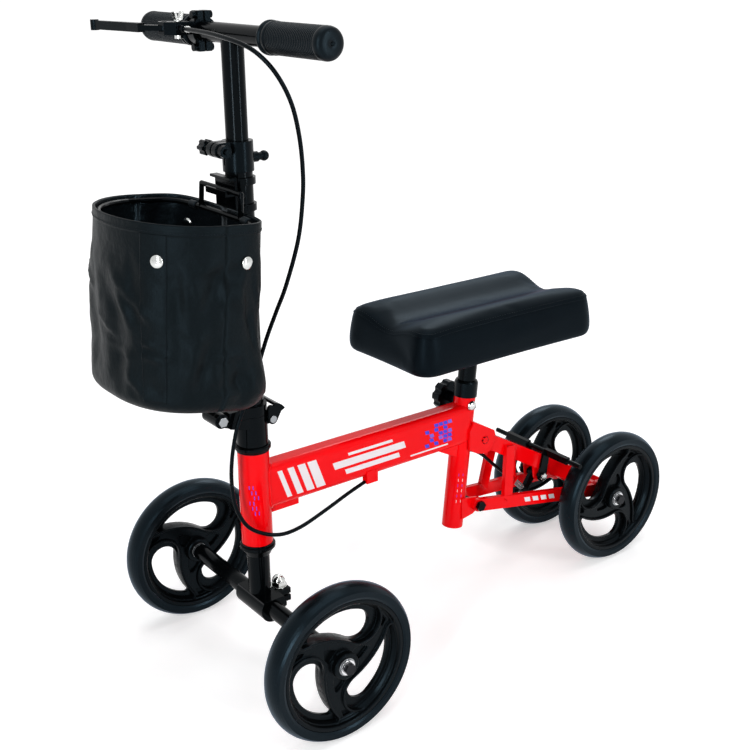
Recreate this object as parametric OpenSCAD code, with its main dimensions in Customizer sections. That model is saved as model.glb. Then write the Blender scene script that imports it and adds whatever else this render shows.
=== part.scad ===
// Knee scooter: a steerable red frame on four wheels, with a padded knee seat, a folding stem,
// a canvas basket and a cable-worked brake on the rear tyres.
// Lengths are in millimetres. +X points forward, +Y to the rider's left and +Z up, with the floor at Z = 0.
// Places along X are counted from the steering axis, which stands over the front axle.

/* [Wheels] */
// Outer radius of every wheel
wheel_r = 100; // [92:1:108]
// Width of the tyre
tyre_w = 32; // [30:1:36]
// Radius of the curve across the tread
crown_r = 24; // [18:1:40]
// Radius where the tyre seats on the rim
rim_r = 84; // [80:1:88]
// Width of the rim's outer lips
rim_w = 28; // [24:1:30]
// Depth of the step inside the rim's outer lips
rim_step = 5; // [3:0.5:7]
// Outer radius of the spoke openings
open_ro = 67; // [64:1:70]
// Inner radius of the spoke openings
open_ri = 29; // [26:1:31]
// Radius of the pointed end of a spoke opening
open_tip_r = 4; // [3:0.5:5]
// Angle of the round end of the first spoke opening
open_angle = -56; // [-70:1:-45]
// Angle from a spoke opening's round end to its pointed end
open_sweep = 68; // [62:1:72]
// Thickness of the raised rib beside a spoke opening
lip_t = 3; // [2:0.5:4]
// Width of the rib across the wheel
lip_w = 20; // [16:1:24]
// Thickness of the web between the ribs
web_t = 6; // [4:0.5:9]
// Thickness of the spokes
spoke_t = 14; // [11:0.5:17]
// Radius of the round end of a rib
rib_r = 25; // [24:0.5:26]
// Radius of the wheel hub
hub_r = 17; // [15:0.5:19]
// Width of the wheel hub
hub_w = 31; // [28:0.5:34]
// Outer radius of a wheel bearing
bearing_r = 11; // [9:0.5:13]
// Width of a wheel bearing
bearing_w = 7; // [5:0.5:9]
// Diameter of an axle bolt
axle_bolt_d = 8; // [6:0.5:10]
// Diameter of an axle washer
washer_d = 19; // [16:0.5:22]
// Thickness of an axle washer
washer_t = 1.8; // [1:0.1:3]
// Length of an axle spacer
spacer_len = 4; // [2:0.5:6]
// Diameter of an axle spacer
spacer_d = 14; // [12:0.5:17]
// Length of the plug that holds an axle bolt in its tube
plug_len = 20; // [12:1:30]
// Distance between the front and rear axles
wheelbase = 577; // [560:1:600]
// Distance between the middles of the front wheels
front_track = 353; // [330:1:380]
// Distance between the middles of the rear wheels
rear_track = 141.5; // [136:0.5:160]

/* [Frame] */
// Diameter of the head tube
head_tube_d = 39.5; // [38.5:0.5:42]
// Height of the head tube's lower end
head_tube_z = 185; // [181:1:189]
// Length of the head tube
head_tube_len = 125; // [120:1:128]
// Wall of the round frame tubes
tube_wall = 2; // [1.5:0.1:2.4]
// Height of the main tube's section
main_tube_h = 58; // [50:1:62]
// Width of the main tube's section
main_tube_w = 32; // [26:1:34]
// Corner radius of the main tube
main_tube_r = 9; // [5:0.5:12]
// Wall of the main tube
main_tube_wall = 2.5; // [2:0.1:4]
// Height of the main tube's underside
main_tube_z = 230; // [224:1:234]
// Reach of the flared end of the main tube along the tube
flare_len = 36; // [24:1:44]
// Drop of the flared end below the main tube
flare_drop = 18; // [10:1:22]
// Length of the gusset behind the head tube
gusset_len = 38; // [28:1:46]
// Depth of the gusset behind the head tube
gusset_h = 8; // [5:0.5:10]
// Thickness of the gussets
gusset_t = 18; // [12:1:22]
// Diameter of the seat tube
seat_tube_d = 30; // [29.4:0.1:31]
// Length of the seat tube
seat_tube_len = 196; // [190:1:204]
// Distance of the seat tube's lower end behind the steering axis
seat_tube_x = 323; // [318:1:328]
// Height of the seat tube's lower end
seat_tube_z = 103; // [98:1:106]
// Backward lean of the seat tube in degrees
seat_lean = 6; // [5:0.5:7]
// Depth of the reamed lower end of the seat tube
reamed_len = 40; // [30:1:44]
// Extra radius of the reamed lower end
reamed_step = 0.4; // [0.2:0.1:0.5]
// Width of the rear beam
beam_w = 32; // [30:1:34]
// Height of the rear beam
beam_h = 22; // [20:1:24]
// Wall of the rear beam
beam_wall = 2.5; // [2:0.1:3.5]
// Distance of the upper bracket bolt behind the steering axis
beam_bolt_x = 365; // [363:0.5:368]
// Height of the upper bracket bolt
beam_bolt_z = 230.5; // [228:0.5:233]
// Height of the beam's middle line over the rear axle
beam_over_axle = 7; // [5:0.5:8]
// Length of the beam behind the rear axle
beam_tail = 40; // [32:1:46]
// Thickness of the upper and lower bracket plates
bracket_t = 3.2; // [2.5:0.1:4]
// Distance of the lower bracket bolt behind the steering axis
arm_bolt_x = 353; // [350:0.5:356]
// Height of the lower bracket bolt
arm_bolt_z = 133.5; // [131:0.5:136]
// Width across the lower bracket
arm_bracket_w = 34; // [33:0.5:36]
// Height of a lower arm
arm_h = 19; // [16:0.5:21]
// Thickness of a lower arm
arm_t = 7; // [6:0.5:8]
// Distance between the middles of the lower arms at the rear axle
arm_spread = 90; // [86:1:92]
// Distance of a strut's foot behind the steering axis
strut_foot_x = 404; // [401:1:408]
// Distance of a strut's head behind the steering axis
strut_head_x = 414; // [411:1:418]
// Width of a strut
strut_w = 16; // [13:0.5:18]
// Thickness of a strut
strut_t = 7; // [6:0.5:8]
// Diameter of the rear axle tube
rear_axle_d = 20; // [19:0.5:21]
// Diameter of the frame bolts
frame_bolt_d = 8; // [7:0.5:9]
// Size across the flats of the bolt heads
bolt_flats = 13; // [11:0.5:14]
// Height of the bolt heads
bolt_head_t = 5.4; // [4:0.2:6]

/* [Seat] */
// Diameter of the seat post
post_d = 25.4; // [25:0.1:25.8]
// Wall of the seat post
post_wall = 2; // [1.5:0.1:3]
// Length of the seat post inside the seat tube
post_in = 112; // [104:1:118]
// Upward travel of the seat
seat_up = 60; // [40:1:64]
// Downward travel of the seat
seat_down = 28; // [16:1:30]
// Diameter of the plastic collar on the seat tube
seat_collar_d = 33; // [32:0.5:36]
// Height of the plastic collar on the seat tube
seat_collar_h = 23; // [16:1:28]
// Distance of the clamping bolt below the seat tube's upper end
seat_bolt_drop = 11; // [9:0.5:14]
// Diameter of the seat clamping bolt
seat_bolt_d = 8; // [6:0.5:9]
// Diameter of the seat clamping knob
seat_knob_d = 44; // [36:1:48]
// Thickness of the seat clamping knob
seat_knob_t = 14; // [10:1:20]
// Distance from the seat tube to the clamping knob
seat_knob_gap = 15; // [10:1:20]
// Number of finger hollows round the seat knob
seat_knob_lobes = 8; // [6:1:10]
// Length of the seat pad
pad_len = 312; // [296:1:324]
// Width of the seat pad
pad_w = 177; // [166:1:186]
// Height of the pad's underside
pad_z = 375; // [371:1:382]
// Height of the pad's bolsters above its underside
pad_h = 64; // [56:1:70]
// Depth of the trough between the bolsters
pad_dip = 14; // [8:1:20]
// Drop of the pad's level front edge below its bolsters
pad_roll = 8; // [4:0.5:12]
// Distance of a bolster's crest from the middle
bolster_y = 61; // [54:1:66]
// Radius of the pad's corners seen from above
pad_corner = 27; // [24:1:34]
// Distance of the pad's middle behind the steering axis
pad_x = 353; // [346:1:360]
// Length of the seat plate
plate_len = 210; // [160:1:240]
// Width of the seat plate
plate_w = 110; // [90:1:130]
// Thickness of the seat plate
plate_t = 4; // [3:0.5:6]

/* [Steering] */
// Diameter of the steerer tube
steerer_d = 28.6; // [27:0.1:30]
// Diameter of the headset cup rings
cup_d = 45; // [43:0.5:48]
// Height of a headset cup outside the head tube
cup_h = 8.5; // [7:0.5:10]
// Diameter of the base collar
collar_d = 39; // [38:0.5:41]
// Height of the fold joint
fold_z = 358; // [354:1:362]
// Thickness of each half of the fold hinge
fold_t = 13; // [11:0.5:14]
// Distance of the fold pivot ahead of the steering axis
fold_x = 49; // [46:0.5:52]
// Height of the fold pivot above the fold joint
fold_rise = 6; // [5:0.5:6.5]
// Radius of the fold knuckle
knuckle_r = 9; // [8.5:0.5:9.5]
// Width of the fold knuckle
knuckle_w = 16; // [14:0.5:18]
// Width across the fold hinge
fold_w = 32; // [30:0.5:34]
// Distance of the latch pivot behind the steering axis
latch_x = 19; // [18:0.5:21]
// Depth of the latch pivot below the fold joint
latch_drop = 7; // [6:0.5:8]
// Thickness of a latch cheek
latch_t = 3.5; // [3:0.25:4]
// Reach of the latch lever from its pivot
latch_reach = 17; // [15:0.5:24]
// Diameter of the front axle tube
front_axle_d = 22.2; // [20:0.1:23]
// Width of the axle saddle
saddle_w = 64; // [56:1:72]
// Height of the saddle's top above the axle
saddle_top = 13; // [12.5:0.5:15]
// Radius of the saddle round the axle
saddle_low = 17.5; // [16.5:0.5:19]
// Distance of the quick-release skewer behind the axle
skewer_x = 28; // [26:0.5:30]
// Diameter of the quick-release skewer
skewer_d = 6; // [5:0.5:7]
// Length of the quick-release lever
qr_len = 46; // [36:1:54]

/* [Stem] */
// Diameter of the lower stem tube
stem_d = 31.5; // [31:0.5:33]
// Diameter of the upper stem tube
upper_d = 25.4; // [25:0.1:25.8]
// Height of the lower stem tube's upper end
stem_top_z = 660; // [650:1:664]
// Height of the clamp collar's upper end
clamp_top_z = 686; // [684:1:692]
// Length of the clamp collar
clamp_h = 34; // [30:1:38]
// Diameter of the clamp collar
clamp_d = 35.5; // [35:0.5:38]
// Distance of the clamp bolt ahead of the stem axis
clamp_bolt_x = 26; // [25:0.5:28]
// Diameter of the clamp bolt
clamp_bolt_d = 6; // [5:0.5:6]
// Radius of the clamp ears
ear_r = 8.5; // [7:0.5:9]
// Width across the clamp ears
ear_w = 20; // [18:1:24]
// Diameter of the clamp knob
clamp_knob_d = 18; // [15:0.5:22]
// Length of the clamp knob
clamp_knob_l = 12; // [9:0.5:15]
// Height of the pull pin
pull_z = 665; // [664:0.5:668]
// Diameter of the pull pin
pull_d = 6; // [5:0.5:6.5]
// Diameter of the ball on the pull pin
pull_ball_d = 12; // [10:0.5:15]
// Travel of the pull pin
pull_travel = 6; // [5:0.5:7]
// Upward travel of the handlebar
bar_up = 120; // [80:1:130]
// Downward travel of the handlebar
bar_down = 55; // [30:1:60]
// Length of the upper stem tube inside the lower one
upper_in = 205; // [190:1:220]

/* [Handlebar] */
// Height of the handlebar's axis
bar_z = 800; // [790:1:810]
// Diameter of the handlebar
bar_d = 22.2; // [21:0.1:23.5]
// Length of the handlebar
bar_len = 372; // [350:1:390]
// Length of a grip
grip_len = 112; // [106:1:116]
// Diameter of a grip
grip_d = 34; // [30:0.5:36]
// Depth of the grooves round a grip
groove_h = 0.9; // [0.5:0.1:1.4]
// Number of grooves round a grip
groove_n = 20; // [12:1:26]
// Thickness of a grip's end cap
grip_end = 4; // [3:0.5:6]
// Distance from the brake perch to the right grip
perch_gap = 5; // [4:0.5:8]
// Width of the perch clamp
perch_w = 14; // [12:0.5:14]
// Distance of the brake lever's pivot ahead of the handlebar
lever_x = 38; // [36:0.5:40]
// Distance of the brake lever's pivot to the right of the perch
lever_side = 16; // [15:0.5:17]
// Height of the brake lever above the handlebar's axis
lever_rise = 4; // [2:0.5:6]
// Thickness of the brake lever at its pivot
lever_t = 6; // [5:0.5:7]
// Height of the brake lever's blade
blade_h = 10; // [8:0.5:12]
// Distance of the brake lever's tip ahead of the handlebar
tip_x = 71; // [66:0.5:74]
// Reach of the brake lever's tip past the end of the handlebar
lever_past = 8; // [-4:1:8]

/* [Basket] */
// Width of the bag
bag_w = 210; // [196:1:226]
// Depth of the bag from back to front
bag_depth = 146; // [132:1:156]
// Height of the bag
bag_h = 204; // [180:1:210]
// Thickness of the bag's cloth with its stiffener
bag_wall = 3; // [2:0.25:4]
// Squareness of the bag's back corners, where 2 is round
bag_square = 4.5; // [3.5:0.25:5.5]
// Squareness of the bag's front, where 2 is round
bag_round = 2.1; // [2:0.05:2.6]
// Distance from the bag's back to its widest place
bag_mid = 60; // [52:1:68]
// Radius of the bag's lower edge
bag_edge = 12; // [8:1:16]
// Distance of the bag's back ahead of the steering axis
bag_x = 19.5; // [19.5:0.25:24]
// Height of the bag's back edge
bag_z = 613; // [608:1:617]
// Forward lean of the bag's foot in degrees
bag_tilt = 5; // [4:0.25:6]
// Diameter of the basket wire
wire_d = 6; // [4.5:0.5:7]
// Depth of the wire rim below the bag's edge
wire_drop = 6; // [5:0.5:10]
// Width of the wire hook
hook_w = 88; // [76:1:96]
// Height of the wire hook above the bag's edge
hook_h = 21; // [18:1:24]
// Width of the basket bracket
bracket_w = 44; // [36:1:52]

/* [Brake] */
// Distance of the brake pivot behind the steering axis
brake_x = 482; // [480:0.5:484]
// Height of the brake pivot
brake_z = 140; // [138:0.5:141]
// Distance of the cross rod behind the steering axis
rod_x = 489; // [486:0.5:491]
// Height of the cross rod
rod_z = 178; // [177.5:0.5:180]
// Diameter of the cross rod
rod_d = 7; // [6:0.5:8]
// Length of the cross rod
rod_len = 176; // [168:1:184]
// Thickness of the flat bars on the cross rod
shoe_t = 7; // [5:0.5:8]
// Height of the flat bars on the cross rod
shoe_h = 10; // [8:0.5:10]
// Length of each flat bar on the cross rod
shoe_len = 47; // [38:1:50]
// Thickness of the yoke's side plates
yoke_t = 3.5; // [3:0.25:4]
// Distance of the cable pin behind the steering axis
crank_x = 464; // [462:0.5:466]
// Height of the cable pin
crank_z = 117; // [115:0.5:119]
// Distance of the cable stop behind the steering axis
stop_x = 440; // [437:0.5:442]
// Height of the cable stop
stop_z = 141; // [139:0.5:143]
// Diameter of the return spring
spring_d = 9; // [8:0.5:10]
// Diameter of the spring's wire
spring_wire = 1.4; // [1:0.1:1.6]
// Number of turns of the return spring
spring_turns = 7; // [5:1:8]
// Diameter of the brake cable's casing
cable_d = 5; // [4:0.5:6]

/* [Hidden] */
$fn = 48;

// Clearances
run_gap = 0.05;    // between a turning or sliding shaft and its bore
seat_gap = 0.02;   // between two fixed pieces, one inside the other
side_gap = 0.3;    // between faces that pass each other

// Colours
RED = [0.84, 0.05, 0.07];
BLACK = [0.05, 0.05, 0.06];
RUBBER = [0.08, 0.08, 0.09];
CHROME = [0.80, 0.81, 0.83];
STEEL = [0.62, 0.63, 0.65];
CLOTH = [0.07, 0.07, 0.08];
VINYL = [0.06, 0.06, 0.07];

// Places that follow from the sizes above
axle_z = wheel_r;
rear_x = -wheelbase;
bag_front = bag_x + bag_depth * cos(bag_tilt) + bag_h * sin(bag_tilt) - bag_edge * sin(bag_tilt);
steer_x = (wheelbase + wheel_r - bag_front) / 2;
head_top_z = head_tube_z + head_tube_len;
collar_z = head_top_z + cup_h + side_gap;
front_in = front_track / 2 - hub_w / 2;
rear_in = rear_track / 2 - hub_w / 2;
front_axle_half = front_in - side_gap - spacer_len;
rear_axle_half = rear_in - side_gap - spacer_len;
main_top_z = main_tube_z + main_tube_h;
pivot = [fold_x, fold_z + fold_rise];
latch = [-latch_x, fold_z - latch_drop];
beam_run = wheelbase - beam_bolt_x;
beam_fall = beam_bolt_z - axle_z - beam_over_axle;
beam_angle = atan2(beam_fall, beam_run);
beam_len = norm([beam_run, beam_fall]) + beam_tail;
arm_in = arm_bracket_w / 2 + side_gap + arm_t / 2;
arm_run = wheelbase - arm_bolt_x;
arm_fall = arm_bolt_z - axle_z;
arm_out = arm_spread / 2 - arm_in;
arm_len = norm([arm_run, arm_fall, arm_out]);
arm_slope = asin(arm_fall / arm_len);
arm_splay = atan2(arm_out, arm_run);
seat_bolt_u = seat_tube_len - seat_bolt_drop;
post_bottom_u = seat_tube_len - post_in;
plate_z = pad_z - plate_t;
upper_bottom_z = clamp_top_z - upper_in;
lever_z = bar_z + lever_rise;
grip_in = bar_len / 2 + grip_end - grip_len;
perch_y = grip_in - perch_gap - perch_w / 2;
lever_y = perch_y + lever_side;
tip_y = bar_len / 2 + lever_past;
wire_out = bag_wall + wire_d / 2 + run_gap;
hook_back = bag_mid - (bag_mid - wire_out)
            * pow(1 - pow(hook_w / (bag_w - 2 * wire_out), bag_square), 1 / bag_square);
hook_z = bag_z + hook_h * cos(bag_tilt) + hook_back * sin(bag_tilt);
hook_x = bag_x + hook_back * cos(bag_tilt) - hook_h * sin(bag_tilt);

// Cable routes, from hand-chosen points
cable_low = 634;                    // height where the handlebar's cable meets the stem's
cable_rise = lever_z - cable_low;
BAR_ROUTE = [[lever_x - 8, 16 - perch_y, lever_z], [lever_x - 6, 30 - perch_y, lever_z], [34, 20,
        lever_z - 2],
             [30, 76, lever_z - 10], [20, 98, lever_z - 24], [8, 107, cable_low + 0.741 * cable_rise],
             [-4, 109, cable_low + 0.588 * cable_rise], [-14, 105, cable_low + 0.4 * cable_rise],
             [-21, 99, cable_low + 0.2 * cable_rise], [-24, 93, cable_low]];
STEM_ROUTE = [[-24, 93, cable_low], [-24, 81, 584], [-20, 59, 528], [-15, 43, 493], [-8, 30, 458], [6,
        25, 415],
              [20, 24, 384]];
LOOP_ROUTE = [[20, 24, 384], [29, 24, 366], [36, 23, 346], [41, 20, 314], [42, 18, 282], [39, 20, 250],
              [28, 25, 224], [8, 30, 209], [-16, 34, 202], [-45, 32, 202], [-82, 27, 209],
              [-126, 19, 218], [-160, 12, 223]];
REAR_ROUTE = [[-351.2, 0, 212], [-360, 0, 209], [-376, 0, 199], [-394, 0, 182], [-414, 0, 163], [-435, 0,
        145]];

// Points on an arc, from angle a0 to a1
function arc(c, r, a0, a1, n) = [for (i = [0:n]) c + r * [cos(a0 + (a1 - a0) * i / n), sin(a0 + (a1 - a0)
        * i / n)]];
function unit(v) = v / norm(v);
function polar(r, a) = r * [cos(a), sin(a)];
// A point at t between route points i and i + 1 on a smooth curve through them all
function on_curve(p, i, t) =
    let (a = p[max(i - 1, 0)], b = p[i], c = p[i + 1], d = p[min(i + 2, len(p) - 1)])
    0.5 * (2 * b + (c - a) * t + (2 * a - 5 * b + 4 * c - d) * t * t + (3 * b - a - 3 * c + d) * t * t * t);
function smooth(p, n) = concat([for (i = [0:len(p) - 2]) for (k = [0:n - 1]) on_curve(p, i, k / n)],
                               [p[len(p) - 1]]);
// Unit vectors square to the tangents T, turning as little as they can
function carried(T, acc = []) =
    let (i = len(acc))
    i == len(T) ? acc :
    let (seed = i > 0 ? acc[i - 1] : abs(T[0][2]) < 0.9 ? [0, 0, 1] : [1, 0, 0])
    carried(T, concat(acc, [unit(seed - (seed * T[i]) * T[i])]));
function band(rings, n, shut) = [for (i = [0:rings - (shut ? 1 : 2)]) for (k = [0:n - 1])
    let (a = i * n + k, b = i * n + (k + 1) % n, j = (i + 1) % rings, c = j * n + k, d = j * n + (k + 1) % n)
    each [[a, c, b], [b, c, d]]];

// A skin over rings of n points each, with both ends capped
module loft(rings) {
    n = len(rings[0]);
    last = (len(rings) - 1) * n;
    points = [for (ring = rings) each ring];
    low = [for (k = [3:n]) [2, k % n, (k + 1) % n]];
    high = [for (t = low) [last + t[0], last + t[2], last + t[1]]];
    polyhedron(points, concat(band(len(rings), n, false), low, high), convexity = 8);
}

// A round tube along a list of points
module sweep(path, r, sides) {
    n = len(path);
    T = [for (i = [0:n - 1]) unit(path[min(i + 1, n - 1)] - path[max(i - 1, 0)])];
    N = carried(T);
    loft([for (i = [0:n - 1]) [for (k = [0:sides - 1])
        path[i] + r * (cos(360 * k / sides) * N[i] + sin(360 * k / sides) * cross(T[i], N[i]))]]);
}

// A round wire along a closed flat list of points
module closed_wire(path, r, sides) {
    n = len(path);
    T = [for (i = [0:n - 1]) unit(path[(i + 1) % n] - path[(i + n - 1) % n])];
    points = [for (i = [0:n - 1]) for (k = [0:sides - 1])
        path[i] + r * (cos(360 * k / sides) * [0, 0, 1] + sin(360 * k / sides) * cross(T[i], [0, 0, 1]))];
    polyhedron(points, band(n, sides, true), convexity = 8);
}

module at_steer() { translate([steer_x, 0, 0]) children(); }
module x_rod(r, x0, x1) { translate([x0, 0, 0]) rotate([0, 90, 0]) cylinder(r = r, h = x1 - x0); }
module y_rod(r, y0, y1) { translate([0, y0, 0]) rotate([-90, 0, 0]) cylinder(r = r, h = y1 - y0); }
module z_rod(r, z0, z1) { translate([0, 0, z0]) cylinder(r = r, h = z1 - z0); }
module z_ring(ro, ri, z0, z1) {
    difference() {
        z_rod(ro, z0, z1);
        z_rod(ri, z0 - 1, z1 + 1);
    }
}
module box(x0, x1, y0, y1, z0, z1) { translate([x0, y0, z0]) cube([x1 - x0, y1 - y0, z1 - z0]); }
// A plate with its outline in the XZ plane, between two places along Y
module y_plate(points, y0, y1) {
    translate([0, y1, 0]) rotate([90, 0, 0]) linear_extrude(y1 - y0) polygon(points);
}
module both_sides() {
    children();
    mirror([0, 1, 0]) children();
}
// A six-sided bolt head along +Y
module y_hex(flats, y0, y1) {
    translate([0, y0, 0]) rotate([-90, 0, 0]) cylinder(r = flats / 2 / cos(30), h = y1 - y0, $fn = 6);
}
// A bolt through the middle plane, with a head at each end
module cross_bolt(d, grip, flats, head) {
    y_rod(d / 2, -grip / 2, grip / 2);
    both_sides() y_hex(flats, grip / 2, grip / 2 + head);
}
// A disc with finger hollows round its edge, along +Y
module lobed_disc(r, t, lobes, hollow) {
    rotate([-90, 0, 0]) difference() {
        cylinder(r = r, h = t);
        for (i = [0:lobes - 1])
            rotate([0, 0, 360 * (i + 0.5) / lobes]) translate([r + hollow * 0.45, 0, -1])
                    cylinder(r = hollow, h = t + 2);
    }
}

// Wheels

// A loop with a round end and a pointed end, both touching the circle ro, grown outward by g
function spoke_loop(ro, round_a, round_r, tip_a, tip_r, g) =
    let (round_c = polar(ro - round_r, round_a), tip_c = polar(ro - tip_r, tip_a), v = tip_c - round_c,
         edge = atan2(v[1], v[0]) + acos((round_r - tip_r) / norm(v)))
    concat(arc([0, 0], ro + g, round_a, tip_a, 9), arc(tip_c, tip_r + g, tip_a, edge, 6),
           arc(round_c, round_r + g, edge, round_a + 360, 12));
function spoke_opening() = spoke_loop(open_ro, open_angle, (open_ro - open_ri) / 2,
        open_angle + open_sweep, open_tip_r, 0);
function rib_loop(g) = spoke_loop(rim_r - 6, open_angle - 6, rib_r, open_angle + open_sweep + 6,
        open_tip_r + 1, g);
// Corners of the hollows in a spoke: distance from the axle, angle from the opening's round end
HUB_POCKET = [[hub_r + 1.5, -24], [29, -34], [37, -51], [hub_r + 1.5, -79]];
RIM_POCKET = [[rim_r - 11, -26.5], [rim_r - 11, -35], [rim_r - 20, -37.5], [rim_r - 20, -33.5]];

// Places a wheel, drawn round Z, with its axle along Y
module at_wheel(x, y) { at_steer() translate([x, y, axle_z]) rotate([90, 0, 180]) children(); }

module tyre(x, y) {
    half = tyre_w / 2;
    tread = [for (i = [-6:6]) let (z = half * i / 6)
            [wheel_r - crown_r + sqrt(crown_r * crown_r - z * z), z]];
    bead = rim_r + seat_gap;
    color(RUBBER) at_wheel(x, y) rotate_extrude($fn = 96)
        polygon(concat([[bead, rim_w / 2], [bead, -rim_w / 2], [bead + 3, -half + 0.6]], tread,
                [[bead + 3, half - 0.6]]));
}

module rim(x, y) {
    lip = rim_w / 2;
    floor_z = lip - rim_step;
    inner_r = open_ro + 6;
    half_ring = [[inner_r, web_t / 2 - 0.5], [inner_r + 3, floor_z - 1.5], [rim_r - 7, floor_z],
            [rim_r - 5, lip], [rim_r, lip]];
    color(BLACK) at_wheel(x, y) difference() {
        union() {
            rotate_extrude($fn = 96) polygon(concat(half_ring, [for (i = [4:-1:0]) [half_ring[i][0],
                    -half_ring[i][1]]]));
            cylinder(r = inner_r + 1, h = web_t, center = true);
            difference() {
                cylinder(r = inner_r + 1, h = spoke_t, center = true);
                for (a = [0, 120, 240]) rotate([0, 0, a]) {
                    linear_extrude(tyre_w, center = true) polygon(rib_loop(0));
                    for (pocket = [HUB_POCKET, RIM_POCKET])
                        linear_extrude(tyre_w, center = true) polygon([for (c = pocket) polar(c[0],
                                open_angle + c[1])]);
                }
            }
            for (a = [0, 120, 240]) rotate([0, 0, a]) difference() {
                linear_extrude(lip_w, center = true) polygon(rib_loop(lip_t));
                linear_extrude(tyre_w, center = true) polygon(rib_loop(0));
            }
            cylinder(r = hub_r, h = hub_w, center = true);
        }
        for (a = [0, 120, 240])
            rotate([0, 0, a]) linear_extrude(tyre_w, center = true) polygon(spoke_opening());
        for (s = [-1, 1])
            translate([0, 0, s * (hub_w - bearing_w) / 2]) cylinder(r = bearing_r + seat_gap,
                    h = bearing_w + 0.001, center = true);
        cylinder(r = axle_bolt_d / 2 + 2, h = hub_w, center = true);
    }
}

module bearings(x, y) {
    color(STEEL) at_wheel(x, y) for (s = [-1, 1])
        translate([0, 0, s * (hub_w - bearing_w) / 2]) difference() {
            cylinder(r = bearing_r, h = bearing_w, center = true);
            cylinder(r = axle_bolt_d / 2 + run_gap, h = bearing_w + 1, center = true);
        }
}

// One end of an axle: plug in the tube, spacer, bolt through the wheel, washer and head
module axle_end(half, track, bore_r) {
    hub_out = track / 2 + hub_w / 2 + side_gap;
    y_rod(bore_r - seat_gap, half - plug_len, half);
    y_rod(spacer_d / 2, half, half + spacer_len);
    y_rod(axle_bolt_d / 2, half, hub_out);
    y_rod(washer_d / 2, hub_out, hub_out + washer_t);
    y_hex(bolt_flats, hub_out + washer_t, hub_out + washer_t + bolt_head_t);
}

module axle_tube(half, d) {
    difference() {
        y_rod(d / 2, -half, half);
        y_rod(d / 2 - tube_wall, -half - 1, half + 1);
    }
}

// Frame

module head_tube() {
    color(RED) at_steer() z_ring(head_tube_d / 2, head_tube_d / 2 - tube_wall, head_tube_z, head_top_z);
}

module headset_cup() {
    skirt = head_tube_d / 2 - tube_wall - seat_gap;
    bore = steerer_d / 2 + run_gap;
    r = cup_d / 2;
    rotate_extrude() polygon([[bore, -12], [skirt, -12], [skirt, 0], [r - 2, 0], [r - 2, 0.3 * cup_h],
            [r - 1, 0.3 * cup_h],
                              [r, 0.42 * cup_h], [r, 0.85 * cup_h], [r - 1.3, cup_h], [bore, cup_h]]);
}

module headset_cups() {
    color(BLACK) at_steer() {
        translate([0, 0, head_top_z]) headset_cup();
        translate([0, 0, head_tube_z]) mirror([0, 0, 1]) headset_cup();
    }
}

// Places things along the leaning seat tube, from its lower end
module at_seat() { at_steer() translate([-seat_tube_x, 0, seat_tube_z]) rotate([0, -seat_lean, 0])
        children(); }
function seat_axis_x(z) = -seat_tube_x - (z - seat_tube_z) * tan(seat_lean);

module main_section(inset) {
    r = main_tube_r - inset;
    hy = main_tube_w / 2 - inset;
    hz = main_tube_h / 2 - inset;
    polygon(concat(arc([hz - r, hy - r], r, 0, 90, 6), arc([r - hz, hy - r], r, 90, 180, 6),
                   arc([r - hz, r - hy], r, 180, 270, 6), arc([hz - r, r - hy], r, 270, 360, 6)));
}

module main_tube() {
    back = seat_axis_x(main_tube_z + main_tube_h / 2);
    guide_x = LOOP_ROUTE[len(LOOP_ROUTE) - 1][0];
    guide_y = LOOP_ROUTE[len(LOOP_ROUTE) - 1][1];
    color(RED) difference() {
        union() {
            at_steer() difference() {
                union() {
                    translate([back, 0, main_tube_z + main_tube_h / 2]) rotate([0, 90, 0])
                        linear_extrude(-back) main_section(0);
                    y_plate([[back, main_tube_z + main_tube_r], [back, main_tube_z - flare_drop],
                             [back + seat_tube_d / 2 + 2, main_tube_z - flare_drop],
                             [back + seat_tube_d / 2 + flare_len, main_tube_z],
                             [back + seat_tube_d / 2 + flare_len, main_tube_z + main_tube_r]],
                                     -gusset_t / 2, gusset_t / 2);
                    box(-head_tube_d / 2 - gusset_len, 0, -gusset_t / 2, gusset_t / 2,
                            main_tube_z - gusset_h, main_tube_z + 3);
                    box(guide_x - 18, guide_x, guide_y - cable_d, guide_y + cable_d, main_tube_z - 9,
                            main_tube_z + main_tube_r);
                }
                translate([back - 1, 0, main_tube_z + main_tube_h / 2]) rotate([0, 90, 0])
                    linear_extrude(2 - back) main_section(main_tube_wall);
                z_rod(head_tube_d / 2, main_tube_z - 20, main_top_z + 1);
            }
        }
        at_seat() {
            z_rod(seat_tube_d / 2, 0, seat_tube_len);
            z_rod(seat_collar_d / 2 + side_gap, seat_tube_len, seat_tube_len + seat_collar_h + 4);
            translate([0, 0, seat_bolt_u]) y_rod(seat_bolt_d / 2 + 3.5 + side_gap, -main_tube_w, main_tube_w);
        }
    }
}

module seat_tube() {
    bore = post_d / 2 + seat_side;
    color(RED) at_seat() difference() {
        z_rod(seat_tube_d / 2, 0, seat_tube_len);
        z_rod(bore, -1, seat_tube_len + 1);
        z_rod(bore + reamed_step, -1, reamed_len);
        translate([0, 0, seat_bolt_u]) y_rod(seat_bolt_d / 2 + run_gap, -seat_tube_d, seat_tube_d);
    }
}
// Side clearance of the seat post in the seat tube, which the collar guides
seat_side = 0.5;

module seat_collar() {
    color(BLACK) at_seat() difference() {
        union() {
            z_rod(seat_collar_d / 2, seat_tube_len, seat_tube_len + seat_collar_h - 3);
            translate([0, 0, seat_tube_len + seat_collar_h - 3])
                cylinder(r1 = seat_collar_d / 2, r2 = seat_collar_d / 2 - 1.5, h = 3);
        }
        z_rod(post_d / 2 + run_gap, seat_tube_len - 1, seat_tube_len + seat_collar_h + 1);
    }
}

// Places things along the rear beam: +X runs up its slope from the upper bracket bolt, +Z stands square to it
module at_beam() { at_steer() translate([-beam_bolt_x, 0, beam_bolt_z]) rotate([0, -beam_angle, 0])
        children(); }

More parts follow.
